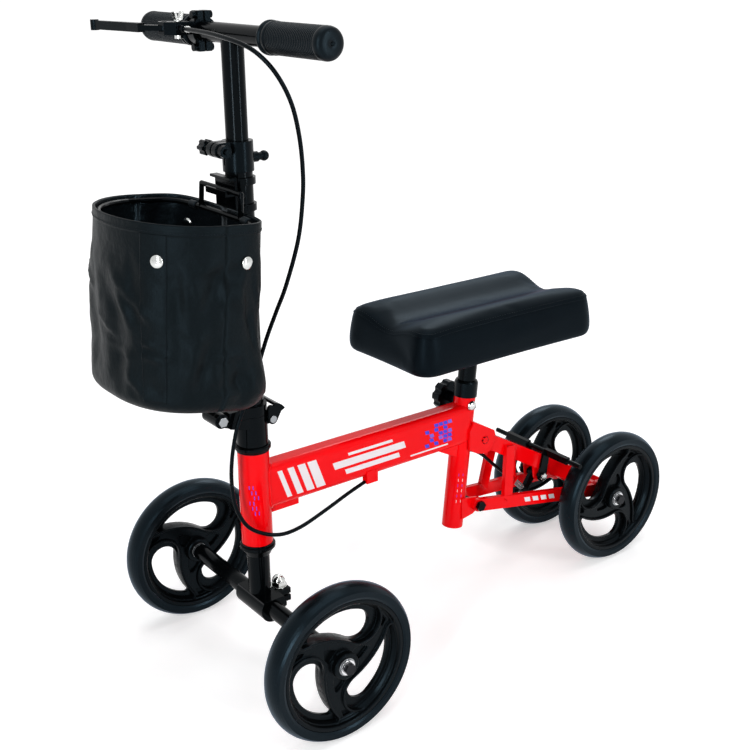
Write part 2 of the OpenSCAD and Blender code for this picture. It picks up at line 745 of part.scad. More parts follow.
module beam_solid() {
    at_beam() box(-beam_len, beam_h / 2, -beam_w / 2, beam_w / 2, -beam_h / 2, beam_h / 2);
}
module frame_bolt_holes() {
    at_steer() {
        translate([-beam_bolt_x, 0, beam_bolt_z]) y_rod(frame_bolt_d / 2 + seat_gap, -beam_w, beam_w);
        translate([-arm_bolt_x, 0, arm_bolt_z]) y_rod(frame_bolt_d / 2 + seat_gap, -arm_spread, arm_spread);
    }
}
module rear_axle_hole() {
    at_steer() translate([rear_x, 0, axle_z]) y_rod(rear_axle_d / 2 + seat_gap, -arm_spread, arm_spread);
}

module rear_beam() {
    color(RED) difference() {
        beam_solid();
        at_beam() box(-beam_len - 1, beam_h, -beam_w / 2 + beam_wall, beam_w / 2 - beam_wall,
                      -beam_h / 2 + beam_wall, beam_h / 2 - beam_wall);
        frame_bolt_holes();
        rear_axle_hole();
    }
}

module upper_bracket() {
    inner = beam_w / 2 + side_gap / 2;
    color(RED) difference() {
        at_beam() {
            both_sides() y_plate([[34, 18], [-10, 18], [-16, 13], [-20, 4], [-20, -10], [-15, -17], [4,
                    -22], [34, -22]],
                                 inner, inner + bracket_t);
            box(-10, 34, -inner - bracket_t, inner + bracket_t, 18 - bracket_t, 18);
        }
        at_seat() z_rod(seat_tube_d / 2, 0, seat_tube_len);
        at_steer() box(seat_axis_x(beam_bolt_z), 0, -beam_w, beam_w, 0, main_top_z);
        frame_bolt_holes();
    }
}

module lower_bracket() {
    half = arm_bracket_w / 2;
    color(RED) difference() {
        at_steer() both_sides() {
            translate([-arm_bolt_x, 0, arm_bolt_z]) y_rod(arm_h / 2 + 1, half - bracket_t, half);
            y_plate([[-arm_bolt_x, arm_bolt_z - 10.5], [-arm_bolt_x, arm_bolt_z + 10.5], [-seat_tube_x,
                    arm_bolt_z + 16],
                     [-seat_tube_x, arm_bolt_z - 18], [-arm_bolt_x + 6, arm_bolt_z - 14]],
                             half - bracket_t, half);
        }
        at_steer() box(seat_axis_x(arm_bolt_z), 0, -half - 1, half + 1, 0, main_tube_z);
        at_seat() z_rod(seat_tube_d / 2, 0, seat_tube_len);
        frame_bolt_holes();
    }
}

// A lower arm on the left, from the lower bracket bolt to the rear axle
module arm_solid() {
    at_steer() translate([-arm_bolt_x, arm_in, arm_bolt_z]) rotate([0, -arm_slope, -arm_splay]) {
        y_rod(arm_h / 2, -arm_t / 2, arm_t / 2);
        box(-arm_len, 0, -arm_t / 2, arm_t / 2, -arm_h / 2, arm_h / 2);
        translate([-arm_len, 0, 0]) y_rod(rear_axle_d / 2 + 5, -arm_t / 2, arm_t / 2);
    }
}
module arm() {
    color(RED) difference() {
        arm_solid();
        at_steer() box(-arm_bolt_x - 40, 0, -arm_bracket_w / 2 - seat_gap, arm_bracket_w / 2 + seat_gap,
                0, main_tube_z);
        frame_bolt_holes();
        rear_axle_hole();
    }
}
module arm_left() { arm(); }
module arm_right() { mirror([0, 1, 0]) arm(); }

// A strut on the left, from the lower arm up to the side of the beam
module strut() {
    foot_run = strut_foot_x - arm_bolt_x;
    foot = [-strut_foot_x, arm_in + foot_run * tan(arm_splay), arm_bolt_z - foot_run * arm_fall / arm_run];
    head = [-strut_head_x, beam_w / 2 + strut_t / 2 - 1, beam_bolt_z - (strut_head_x - beam_bolt_x)
            * tan(beam_angle)];
    rise = head - foot;
    color(RED) difference() {
        at_steer() translate(foot) rotate([-atan2(rise[1], rise[2]), atan2(rise[0], rise[2]), 0])
            box(-strut_w / 2, strut_w / 2, -strut_t / 2, strut_t / 2, 0, norm(rise) + 6);
        arm_solid();
        beam_solid();
    }
}
module strut_left() { strut(); }
module strut_right() { mirror([0, 1, 0]) strut(); }

module rear_axle() {
    color(RED) at_steer() translate([rear_x, 0, axle_z]) axle_tube(rear_axle_half, rear_axle_d);
}
module rear_axle_bolts() {
    color(CHROME) at_steer() translate([rear_x, 0, axle_z])
        both_sides() axle_end(rear_axle_half, rear_track, rear_axle_d / 2 - tube_wall);
}

module frame_bolts() {
    upper_grip = beam_w + side_gap + 2 * bracket_t;
    lower_grip = arm_bracket_w + 2 * side_gap + 2 * arm_t + 1;
    color(BLACK) at_steer() {
        translate([-beam_bolt_x, 0, beam_bolt_z]) cross_bolt(frame_bolt_d, upper_grip, bolt_flats - 3, 2);
        translate([-arm_bolt_x, 0, arm_bolt_z]) cross_bolt(frame_bolt_d, lower_grip, bolt_flats, bolt_head_t);
        translate([-brake_x, 0, brake_z]) cross_bolt(frame_bolt_d, yoke_out, bolt_flats - 2, 3.5);
    }
}

// Rear brake

lug_half = 11.5;                                 // half the width across the brake pivot lugs
barrel_r = 6;                                    // radius of the crank's cable barrel
stop_t = 3;                                      // thickness of the cable stop
yoke_in = beam_w / 2 + 1;                        // inner face of a yoke plate
yoke_out = 2 * (yoke_in + yoke_t + side_gap);    // length of the pivot bolt between its heads
pull = unit([stop_x - crank_x, stop_z - crank_z] * [[-1, 0], [0, 1]]);
spring_start = [-crank_x, crank_z] + pull * (barrel_r + side_gap / 2);
spring_len = norm([stop_x - crank_x, stop_z - crank_z]) - barrel_r - stop_t - side_gap;

// The pivot lugs and the cable stop, hanging from the beam
module brake_lugs() {
    color(RED) difference() {
        at_steer() {
            both_sides() {
                translate([-brake_x, 0, brake_z]) y_rod(8.5, lug_half - 3.5, lug_half);
                y_plate([[-brake_x - 8.5, brake_z], [-brake_x + 8.5, brake_z], [-brake_x + 12, brake_z + 24],
                         [-brake_x - 12, brake_z + 24]], lug_half - 3.5, lug_half);
            }
            translate([-stop_x, 0, stop_z]) rotate([0, 90 - atan2(pull[1], pull[0]), 0]) box(-7, 9, -6,
                    6, -stop_t, 0);
            y_plate([[-stop_x - 3, stop_z + 3], [-stop_x + 6, stop_z + 8], [-stop_x + 14, stop_z + 44],
                     [-stop_x - 2, stop_z + 44]], -3, 3);
        }
        beam_solid();
        at_steer() translate([-brake_x, 0, brake_z]) y_rod(frame_bolt_d / 2 + seat_gap, -beam_w, beam_w);
    }
}

// The swinging yoke: cross rod with its flat bars, side plates, pivot sleeves and crank
module brake_yoke() {
    lever = unit([brake_x - rod_x, rod_z - brake_z]);
    side = [-lever[1], lever[0]];
    color(BLACK) at_steer() difference() {
        union() {
            translate([-rod_x, 0, rod_z]) y_rod(rod_d / 2, -rod_len / 2, rod_len / 2);
            both_sides() {
                box(-rod_x - shoe_t / 2, -rod_x + shoe_t / 2, yoke_in, yoke_in + shoe_len,
                    rod_z - shoe_h / 2, rod_z + shoe_h / 2);
                translate([-brake_x, 0, brake_z]) y_rod(8, yoke_in, yoke_in + yoke_t);
                y_plate([for (s = [[-1, 0], [1, 0], [0.8, 1], [-0.8, 1]])
                         [-brake_x, brake_z] + 8 * s[0] * side + s[1] * norm([brake_x - rod_x,
                                 rod_z - brake_z]) * lever],
                        yoke_in, yoke_in + yoke_t);
            }
            translate([-brake_x, 0, brake_z]) y_rod(6.5, -lug_half + 3.8, lug_half - 3.8);
            y_plate([for (s = [[-1, 0], [1, 0], [0.75, 1], [-0.75, 1]])
                     [-brake_x, brake_z] + 6.4 * s[0] * unit([crank_z - brake_z, crank_x - brake_x])
                     + s[1] * [brake_x - crank_x, crank_z - brake_z]], -3, 3);
            translate([-crank_x, 0, crank_z]) y_rod(barrel_r, -5, 5);
        }
        translate([-brake_x, 0, brake_z]) y_rod(frame_bolt_d / 2 + run_gap, -beam_w, beam_w);
    }
}

// The return spring between the crank and the cable stop
spring_path = [for (i = [0:8 * spring_turns])
    let (a = 45 * i, r = (spring_d - spring_wire) / 2, along = spring_wire / 2 + i / (8 * spring_turns)
            * (spring_len - spring_wire))
    [spring_start[0] + pull[0] * along - pull[1] * r * cos(a), r * sin(a),
            spring_start[1] + pull[1] * along + pull[0] * r * cos(a)]];
spring_gap = min([for (i = [0:len(spring_path) - 6]) for (j = [i + 5:len(spring_path) - 1])
    norm(spring_path[i] - spring_path[j])]) - spring_wire;
echo(spring_gap = spring_gap);

module brake_spring() { color(STEEL) at_steer() sweep(spring_path, spring_wire / 2, 6); }

// A length of cable along a route, cut short by g0 and g1 at its ends
module cable(route, steps, g0 = 0, g1 = 0) {
    p = smooth(route, steps);
    n = len(p) - 1;
    path = [for (i = [0:n]) i == 0 ? p[0] + g0 * unit(p[1] - p[0]) :
            i == n ? p[n] + g1 * unit(p[n - 1] - p[n]) : p[i]];
    color(BLACK) at_steer() sweep(path, cable_d / 2, 8);
}
module cable_bar() { cable(BAR_ROUTE, 3); }
module cable_stem() { cable(STEM_ROUTE, 3, 0.6, 0.6); }
module cable_loop() { cable(LOOP_ROUTE, 2); }
module cable_rear() { cable(REAR_ROUTE, 2); }

// Steering

module steerer() {
    color(BLACK) at_steer() {
        z_ring(steerer_d / 2, steerer_d / 2 - tube_wall, axle_z + saddle_top, collar_z + 24);
        difference() {
            translate([0, 0, head_tube_z - cup_h - side_gap - 8]) cylinder(r1 = steerer_d / 2 + 2,
                    r2 = cup_d / 2 - 2.5, h = 8);
            z_rod(steerer_d / 2 - 0.5, axle_z, head_tube_z);
        }
    }
}

// Outline of a hinge half seen from above
module hinge_outline() {
    circle(r = collar_d / 2);
    translate([0, -fold_w / 2]) square([fold_x - knuckle_r - 1.5, fold_w]);
}

module base_collar() {
    low = fold_z - fold_t;
    front = fold_x - knuckle_r - 1.5;
    color(BLACK) at_steer() difference() {
        union() {
            z_rod(collar_d / 2, collar_z, fold_z);
            y_plate([[0, low], [18, low], [front, low + 6], [front, fold_z], [0, fold_z]], -fold_w / 2,
                    fold_w / 2);
            box(latch[0] - 6.5, 0, -fold_w / 2 + 0.5, fold_w / 2 - 0.5, low, fold_z);
            both_sides() {
                translate([pivot[0], 0, pivot[1]]) y_rod(knuckle_r, knuckle_w / 2 + side_gap, fold_w / 2);
                y_plate([[18, low], [pivot[0] - 2, pivot[1] - knuckle_r + 0.3], [pivot[0], fold_z], [18,
                        fold_z]],
                        knuckle_w / 2 + side_gap, fold_w / 2);
            }
        }
        z_rod(steerer_d / 2 + seat_gap, collar_z - 1, collar_z + 24);
        translate([pivot[0], 0, pivot[1]]) {
            y_rod(frame_bolt_d / 2 + seat_gap, -fold_w, fold_w);
            y_rod(knuckle_r + 1, -knuckle_w / 2 - side_gap, knuckle_w / 2 + side_gap);
        }
        translate([latch[0], 0, latch[1]]) y_rod(3 + seat_gap, -fold_w, fold_w);
    }
}

module fold_bolts() {
    color(CHROME) at_steer() {
        translate([pivot[0], 0, pivot[1]]) cross_bolt(frame_bolt_d, fold_w, bolt_flats - 2, 4);
        translate([latch[0], 0, latch[1]]) {
            y_rod(3, -fold_w / 2 - latch_t, fold_w / 2 + latch_t);
            both_sides() y_rod(4.5, fold_w / 2 + latch_t, fold_w / 2 + latch_t + 1.2);
        }
    }
}

// The latch: two cheeks on the pivot and a curved thumb plate across the back
module fold_lever() {
    inner = fold_w / 2 - 0.5 + side_gap;
    color(BLACK) at_steer() translate([latch[0], 0, latch[1]]) difference() {
        union() {
            both_sides() hull() {
                y_rod(6.5, inner, fold_w / 2 + latch_t, $fn = 32);
                translate([2, 0, latch_reach - 3]) y_rod(4, inner, fold_w / 2 + latch_t, $fn = 32);
                translate([-latch_reach / 2, 0, latch_reach - 7]) y_rod(4, inner, fold_w / 2 + latch_t,
                        $fn = 32);
            }
            y_plate(concat(arc([0, 0], latch_reach, 98, 148, 6), arc([0, 0], latch_reach + 3.5, 148, 98, 6)),
                    -fold_w / 2 - latch_t, fold_w / 2 + latch_t);
            both_sides() y_plate(concat([[-4, 4]], arc([0, 0], latch_reach + 1, 98, 148, 6)), inner,
                    fold_w / 2 + latch_t);
        }
        y_rod(3 + run_gap, -fold_w, fold_w);
    }
}

module axle_saddle() {
    top = axle_z + saddle_top;
    back = front_axle_d / 2 + 5;
    color(BLACK) at_steer() difference() {
        union() {
            translate([0, 0, axle_z]) y_rod(saddle_low, -saddle_w / 2, saddle_w / 2);
            box(-back, front_axle_d / 2 + 3, -saddle_w / 2, saddle_w / 2, axle_z, top);
            box(-skewer_x - 10, -back + 3, -13, 13, axle_z - 9, axle_z + 9);
        }
        box(-saddle_low - 1, saddle_low + 1, -saddle_w, saddle_w, top, top + 20);
        translate([0, 0, axle_z]) y_rod(front_axle_d / 2 + seat_gap, -saddle_w, saddle_w);
        box(-skewer_x - 11, 0, -saddle_w, saddle_w, axle_z - 1.5, axle_z + 1.5);
        translate([-skewer_x, 0, 0]) z_rod(skewer_d / 2 + seat_gap, axle_z - 20, axle_z + 20);
    }
}

module front_axle() { color(BLACK) at_steer() translate([0, 0, axle_z]) axle_tube(front_axle_half,
        front_axle_d); }
module front_axle_bolts() {
    color(CHROME) at_steer() translate([0, 0, axle_z])
        both_sides() axle_end(front_axle_half, front_track, front_axle_d / 2 - tube_wall);
}

qr_z = axle_z - 17;    // height of the quick-release lever's pivot

// The upright skewer: acorn nut on top, eye with its pin at the bottom
module qr_skewer() {
    nut = axle_z + 9;
    color(CHROME) at_steer() translate([-skewer_x, 0, 0]) {
        z_rod(skewer_d / 2, qr_z, nut);
        z_rod(11, nut, nut + 2);
        translate([0, 0, nut + 2]) cylinder(r = 10, h = 6, $fn = 6);
        translate([0, 0, nut + 8]) rotate_extrude() polygon(concat([[0, 0]], arc([0, 0], 8.5, 0, 90, 6)));
        box(-3, 3, -4, 4, qr_z - 4, axle_z - 9 - side_gap);
        translate([0, 0, qr_z]) x_rod(2.5, -8, 8);
    }
}

module qr_lever() {
    color(BLACK) at_steer() translate([-skewer_x, 0, qr_z]) difference() {
        union() {
            for (s = [-1, 1]) translate([s * 5.4, 0, 0]) x_rod(6.5, -2, 2);
            box(-7.4, 7.4, -qr_len + 6, -5, -5.5, -1.5);
            for (s = [-1, 1]) translate([s * 5.4, 0, 0]) box(-2, 2, -14, 0, -6.5, -1.5);
            translate([0, -qr_len + 6, 0]) z_rod(7.4, -5.5, -1.5);
        }
        x_rod(2.5 + run_gap, -10, 10);
        box(-3 - side_gap, 3 + side_gap, -5 - side_gap, 8, -8, 8);
    }
}

// Stem

module stem_lower() {
    color(BLACK) at_steer() difference() {
        union() {
            z_rod(stem_d / 2, fold_z + side_gap, stem_top_z);
            translate([0, 0, fold_z + side_gap]) linear_extrude(fold_t) hinge_outline();
            box(0, pivot[0], -knuckle_w / 2, knuckle_w / 2, fold_z + side_gap, fold_z + side_gap + fold_t);
            translate([pivot[0], 0, pivot[1]]) y_rod(knuckle_r, -knuckle_w / 2, knuckle_w / 2);
        }
        z_rod(upper_d / 2 + 0.5, fold_z + fold_t + side_gap, stem_top_z + 1);
        translate([pivot[0], 0, pivot[1]]) y_rod(frame_bolt_d / 2 + run_gap, -fold_w, fold_w);
    }
}

clamp_bolt_z = clamp_top_z - ear_r;

module stem_clamp() {
    color(BLACK) at_steer() difference() {
        union() {
            z_rod(clamp_d / 2, clamp_top_z - clamp_h, clamp_top_z);
            translate([clamp_bolt_x, 0, clamp_bolt_z]) y_rod(ear_r, -ear_w / 2, ear_w / 2);
            box(0, clamp_bolt_x, -ear_w / 2, ear_w / 2, clamp_top_z - 2 * ear_r, clamp_top_z);
            translate([0, 0, pull_z]) x_rod(pull_d / 2 + 3, -clamp_d / 2 - 7, 0);
            translate([clamp_bolt_x, 0, clamp_bolt_z]) y_rod(ear_r - 1.5, ear_w / 2, ear_w / 2 + 10);
        }
        z_rod(stem_d / 2 + seat_gap, clamp_top_z - clamp_h - 1, stem_top_z);
        z_rod(upper_d / 2 + run_gap, stem_top_z - 1, clamp_top_z + 1);
        box(0, clamp_bolt_x + ear_r + 1, -1.5, 1.5, stem_top_z, clamp_top_z + 1);
        translate([clamp_bolt_x, 0, clamp_bolt_z]) y_rod(clamp_bolt_d / 2 + run_gap, -ear_w, ear_w + 2);
        translate([0, 0, pull_z]) x_rod(pull_d / 2 + run_gap, -clamp_d, 0);
    }
}

module clamp_knob() {
    face = ear_w / 2 + side_gap;
    color(BLACK) at_steer() translate([clamp_bolt_x, 0, clamp_bolt_z]) {
        y_rod(clamp_bolt_d / 2, -face, face + 13);
        y_rod(clamp_bolt_d / 2 + 3, -face - 8, -face);
        translate([0, -face - 8 - clamp_knob_l, 0]) lobed_disc(clamp_knob_d / 2, clamp_knob_l, 6, 3.5);
    }
}

module pull_pin() {
    boss = clamp_d / 2 + 7;
    color(BLACK) at_steer() translate([0, 0, pull_z]) {
        x_rod(pull_d / 2, -boss - 5, -upper_d / 2 + 1.2);
        x_rod(pull_d / 2 + 1.5, -boss - 5, -boss - side_gap);
        translate([-boss - 3 - pull_ball_d / 2, 0, 0]) sphere(d = pull_ball_d);
    }
}

module stem_upper() {
    color(BLACK) at_steer() difference() {
        z_ring(upper_d / 2, upper_d / 2 - tube_wall, upper_bottom_z, bar_z);
        translate([0, 0, bar_z]) y_rod(bar_d / 2, -upper_d, upper_d);
        box(-upper_d, -upper_d / 2 + tube_wall + 1, -pull_d / 2 - run_gap, pull_d / 2 + run_gap,
            pull_z - bar_up - pull_d / 2 - 1, pull_z + bar_down + pull_d / 2 + 1);
    }
}

// Handlebar

module handlebar() {
    color(BLACK) at_steer() translate([0, 0, bar_z]) difference() {
        y_rod(bar_d / 2, -bar_len / 2, bar_len / 2);
        y_rod(bar_d / 2 - tube_wall, -bar_len / 2 - 1, bar_len / 2 + 1);
    }
}

// A ribbed grip on the left, with flange rings at its inner end and a closed outer end
module grip() {
    ribbed = grip_len - 34;
    step = ribbed / groove_n;
    r = grip_d / 2;
    outline = concat([[0, 0], [r + 1, 0], [r + 1, 4], [r - 1, 5], [r - 1, 8], [r + 0.5, 9], [r + 0.5,
            13], [r - 0.5, 14]],
                     [for (i = [0:groove_n - 1]) each [[r, 18 + step * i], [r, 18 + step * (i + 0.55)],
                      [r - groove_h, 18 + step * (i + 0.65)], [r - groove_h, 18 + step * (i + 0.95)]]],
                     [[r + 0.5, grip_len - 15], [r + 0.5, grip_len - 3], [r - 2.5, grip_len], [0, grip_len]]);
    color(RUBBER) at_steer() translate([0, grip_in, bar_z]) rotate([-90, 0, 0]) difference() {
        rotate_extrude($fn = 64) polygon(outline);
        z_rod(bar_d / 2 + seat_gap, -1, grip_len - grip_end);
        z_rod(2, 0, grip_len + 1);
    }
}
module grip_left() { grip(); }
module grip_right() { mirror([0, 1, 0]) grip(); }

clip_x = lever_x - 9;      // place of the parking-lock pin ahead of the handlebar
clip_y = lever_y - 16;     // and to the right of the stem

// The perch: split clamp on the bar with two cross screws, body with the lever's slot, pivot pin and
// cable ferrule
module lever_perch() {
    half = perch_w / 2;
    tall = lever_t / 2 + 4;
    color(BLACK) at_steer() translate([0, 0, bar_z]) difference() {
        union() {
            difference() {
                union() {
                    translate([0, -perch_y, 0]) y_rod(bar_d / 2 + 4.5, -half, half);
                    for (s = [-1, 1]) translate([0, 0, s * (bar_d / 2 + 6)])
                        box(-8, 8, -perch_y - half, -perch_y + half, -5, 5);
                }
                translate([-1, -perch_y - half - 1, -40]) cube([2, perch_w + 2, 80]);
            }
            translate([0, 0, lever_rise - tall]) linear_extrude(2 * tall)
                polygon([[12, -perch_y + half], [lever_x - 2, -perch_y + half], [lever_x + 7, -perch_y - 4],
                         [lever_x + 8, -lever_y], [lever_x + 3, -lever_y - 8], [lever_x - 6,
                                 -lever_y - 6], [13, -perch_y - half]]);
            for (s = [-1, 1]) translate([0, -perch_y, s * (bar_d / 2 + 6.5)]) {
                x_rod(2.5, -10, 10);
                x_rod(4.2, 8, 12.5);
                x_rod(4.2, -12.5, -8);
            }
            translate([lever_x - 8, 0, lever_rise]) y_rod(4, -perch_y + half - 1, BAR_ROUTE[0][1]);
        }
        translate([0, -perch_y, 0]) y_rod(bar_d / 2 + seat_gap, -half - 20, half + 1);
        translate([0, 0, lever_rise]) box(lever_x - 14, lever_x + 20, -lever_y - 20, -lever_y + 11,
                                          -lever_t / 2 - side_gap, lever_t / 2 + side_gap);
        translate([clip_x, -clip_y, 0]) z_rod(2.5 + run_gap, -40, 40);
    }
    color(BLACK) at_steer() translate([lever_x, -lever_y, lever_z]) z_rod(3, -tall - 0.5, tall + 0.5);
}

// The lever: tongue on the pivot, a stepped blade and a round tip
module brake_lever() {
    knee = [lever_x + 16, -lever_y - 25];
    tip = [tip_x, -tip_y];
    along = unit(tip - knee);
    out = [-along[1], along[0]];
    color(BLACK) at_steer() translate([0, 0, lever_z]) difference() {
        union() {
            translate([lever_x, -lever_y, 0]) z_rod(7, -lever_t / 2, lever_t / 2);
            translate([0, 0, -lever_t / 2]) linear_extrude(lever_t)
                polygon([[lever_x + 5, -lever_y + 5], knee + 5.5 * out, knee + 6 * along, knee - 5 * out,
                        [lever_x - 6, -lever_y - 3]]);
            translate([0, 0, -blade_h / 2]) linear_extrude(blade_h)
                polygon([knee + 5 * out, knee - 4.5 * out, knee - 5 * out + 24 * along, tip - 3.5 * out,
                        tip + 2.5 * out,
                         knee + 3.5 * out + 24 * along]);
            translate([tip[0], tip[1], 0]) z_rod(5, -blade_h / 2 - 1, blade_h / 2 + 1);
        }
        translate([lever_x, -lever_y, 0]) z_rod(3 + run_gap, -blade_h, blade_h);
    }
}

// The parking lock: an upright pin with a flared fork on top and a foot below
module lock_clip() {
    tall = lever_t / 2 + 4;
    color(CHROME) at_steer() translate([clip_x, -clip_y, lever_z]) {
        z_rod(2.5, -tall - 4, tall + 4);
        z_rod(5, -tall - 4, -tall - side_gap);
        z_rod(4.5, tall + side_gap, tall + 2);
        for (s = [-1, 1])
            translate([s * 2.5, 0, tall + 2]) rotate([0, s * 14, 0]) box(-1.2, 1.2, -3.5, 3.5, -0.5, 9);
    }
}

// Basket

// Places things from the bag's back edge, leaning with the bag
module at_bag() { at_steer() translate([bag_x, 0, bag_z]) rotate([0, -bag_tilt, 0]) children(); }

// A ring of the bag's plan, drawn in by d, at height z
function bag_ring(d, z, n) = [for (i = [0:n - 1])
    let (c = cos(360 * i / n), s = sin(360 * i / n), p = 2 / (c < 0 ? bag_square : bag_round))
    [bag_mid + sign(c) * pow(abs(c), p) * ((c < 0 ? bag_mid : bag_depth - bag_mid) - d),
     sign(s) * pow(abs(s), p) * (bag_w / 2 - d), z]];

module basket_bag() {
    n = 44;
    foot = [for (i = [0:3]) let (a = 90 * i / 3) [bag_edge * (1 - sin(a)), -bag_h + bag_edge * (1 - cos(a))]];
    inner = -bag_h + bag_wall;
    color(CLOTH) at_bag() loft(concat(
        [for (f = foot) bag_ring(f[0], f[1], n)],
        [bag_ring(-1, -bag_h * 0.45, n), bag_ring(0, 0, n), bag_ring(bag_wall, 0, n),
                bag_ring(bag_wall - 1, -bag_h * 0.45, n)],
        [for (i = [3:-1:0]) bag_ring(foot[i][0] + bag_wall, max(foot[i][1], inner + foot[i][1] + bag_h),
                n)]));
}

module basket_wire() {
    rim_path = bag_ring(wire_out, -wire_drop, 44);
    half = hook_w / 2;
    color(BLACK) at_bag() {
        closed_wire(rim_path, wire_d / 2, 8);
        translate([hook_back, 0, hook_h]) y_rod(wire_d / 2, -half, half);
        both_sides() translate([hook_back, half, 0]) {
            z_rod(wire_d / 2, -wire_drop, hook_h);
            translate([0, 0, hook_h]) sphere(d = wire_d);
        }
    }
}

// The bracket: back plate on two bands round the stem, with a shelf that the wire hook rests on and a
// flange over it
module basket_bracket() {
    half = bracket_w / 2;
    back = stem_d / 2;
    shelf = hook_z - wire_d / 2;
    color(BLACK) at_steer() difference() {
        union() {
            box(back, back + 3, -half, half, shelf - 26, shelf + 17);
            box(back, hook_x + wire_d / 2 + 4.5, -half, half, shelf - 3, shelf);
            box(hook_x + wire_d / 2 + 1.5, hook_x + wire_d / 2 + 4.5, -half, half, shelf - 3, shelf + 4);
            box(back, hook_x + 1, -half, half, shelf + 14, shelf + 17);
            for (z = [shelf - 24, shelf + 6]) z_rod(stem_d / 2 + 3, z, z + 8);
        }
        z_rod(stem_d / 2 + seat_gap, 0, bar_z);
    }
}

// Seat

module seat_post() {
    slot_lo = seat_bolt_u - seat_up - seat_bolt_d / 2 - 1;
    slot_hi = seat_bolt_u + seat_down + seat_bolt_d / 2 + 1;
    slot_half = seat_bolt_d / 2 + side_gap;
    rise = (plate_z - seat_tube_z) / cos(seat_lean) + post_d;
    color(BLACK) difference() {
        union() {
            at_seat() z_ring(post_d / 2, post_d / 2 - post_wall, post_bottom_u, rise);
            at_steer() box(-pad_x - plate_len / 2, -pad_x + plate_len / 2, -plate_w / 2, plate_w / 2,
                    plate_z, pad_z);
        }
        at_steer() box(-pad_x - pad_len, -pad_x + pad_len, -pad_w, pad_w, pad_z, pad_z + 60);
        at_seat() box(-slot_half, slot_half, -post_d, post_d, slot_lo, min(slot_hi, rise - post_d - 8));
    }
}

// A ring of the pad's plan: rounded rectangle drawn in by d and shrunk by k, with z from each point's place
function pad_outline(d) =
    let (hx = pad_len / 2 - d, hy = pad_w / 2 - d, r = max(pad_corner - d, 2), nx = 6, ny = 9,
         quarter = [for (c = [[1, 1, 0], [-1, 1, 90], [-1, -1, 180], [1, -1, 270]])
                    arc([c[0] * (hx - r), c[1] * (hy - r)], r, c[2], c[2] + 90, 5)])
    [for (q = [0:3]) each concat(quarter[q],
        let (a = quarter[q][5], b = quarter[(q + 1) % 4][0], n = q % 2 == 0 ? nx : ny)
        [for (i = [1:n]) a + (b - a) * i / (n + 1)])];
function pad_crown(x, y) =
    let (front = pow(max(0, x - pad_len / 2 + 70) / 70, 2))
    pad_h - front * pad_roll
    - (abs(y) < bolster_y ? (1 - front) * pad_dip * (1 + cos(180 * y / bolster_y)) / 2
                          : 5 * pow((abs(y) - bolster_y) / (pad_w / 2 - bolster_y), 2));
function pad_ring(d, k, part, drop) =
    [for (p = pad_outline(d)) [p[0] * k, p[1] * k, part * (pad_crown(p[0] * k, p[1] * k) - drop)]];

module seat_pad() {
    color(VINYL) at_steer() translate([-pad_x, 0, pad_z]) loft([
        pad_ring(9, 1, 0, 0), pad_ring(3, 1, 0.06, 0), pad_ring(0, 1, 0.2, 0), pad_ring(0.8, 1, 0.4, 0),
        pad_ring(2.4, 1, 0.6, 0), pad_ring(4.4, 1, 0.78, 0), pad_ring(6, 1, 1, 8), pad_ring(9, 1, 1, 3.6),
        pad_ring(14, 1, 1, 1.1), pad_ring(21, 1, 1, 0), pad_ring(21, 0.8, 1, 0), pad_ring(21, 0.6, 1, 0),
        pad_ring(21, 0.4, 1, 0), pad_ring(21, 0.2, 1, 0), pad_ring(21, 0.1, 1, 0)]);
}

// The clamping knob on the right, with its bolt through the tube and a domed nut on the left
module seat_knob() {
    out = seat_tube_d / 2 + side_gap;
    color(BLACK) at_seat() translate([0, 0, seat_bolt_u]) {
        y_rod(seat_bolt_d / 2, -out - seat_knob_gap, out);
        y_rod(seat_bolt_d / 2 + 3.5, -out - seat_knob_gap, -out);
        translate([0, -out - seat_knob_gap - seat_knob_t, 0])
            lobed_disc(seat_knob_d / 2, seat_knob_t, seat_knob_lobes, 5);
        translate([0, out, 0]) rotate([-90, 0, 0])
            rotate_extrude() polygon(concat([[0, 0]], arc([0, 0], seat_bolt_d / 2 + 1.2, 0, 90, 6) * [[1,
                    0], [0, 0.8]]));
    }
}

FL = [0, front_track / 2];
FR = [0, -front_track / 2];
RL = [rear_x, rear_track / 2];
RR = [rear_x, -rear_track / 2];

tyre(FL[0], FL[1]);  // tyre_fl
rim(FL[0], FL[1]);  // rim_fl
bearings(FL[0], FL[1]);  // bearings_fl
tyre(FR[0], FR[1]);  // tyre_fr
rim(FR[0], FR[1]);  // rim_fr
bearings(FR[0], FR[1]);  // bearings_fr
tyre(RL[0], RL[1]);  // tyre_rl
rim(RL[0], RL[1]);  // rim_rl
bearings(RL[0], RL[1]);  // bearings_rl
tyre(RR[0], RR[1]);  // tyre_rr
rim(RR[0], RR[1]);  // rim_rr
bearings(RR[0], RR[1]);  // bearings_rr
head_tube();
headset_cups();
main_tube();
seat_tube();
seat_collar();
upper_bracket();
lower_bracket();
rear_beam();
arm_left();
arm_right();
strut_left();
strut_right();
rear_axle();
rear_axle_bolts();
frame_bolts();
brake_lugs();
cable_loop();
cable_rear();
brake_yoke();
brake_spring();
steerer();
base_collar();
axle_saddle();
front_axle();
front_axle_bolts();
qr_skewer();
fold_bolts();
qr_lever();
fold_lever();
stem_lower();
stem_clamp();
clamp_knob();
pull_pin();
basket_bracket();
basket_wire();
basket_bag();
cable_stem();
stem_upper();
handlebar();
grip_left();
grip_right();
lever_perch();
cable_bar();
brake_lever();
lock_clip();
seat_post();
seat_pad();
seat_knob();
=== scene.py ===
"""Knee scooter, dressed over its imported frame: finishes, padded seat, canvas basket, cables and small fittings."""
from math import atan2, copysign, cos, degrees as in_degrees, exp, hypot, pi, radians, sin, sqrt
from types import SimpleNamespace as Sizes

import bmesh
import bpy
from mathutils import Matrix, Vector, noise


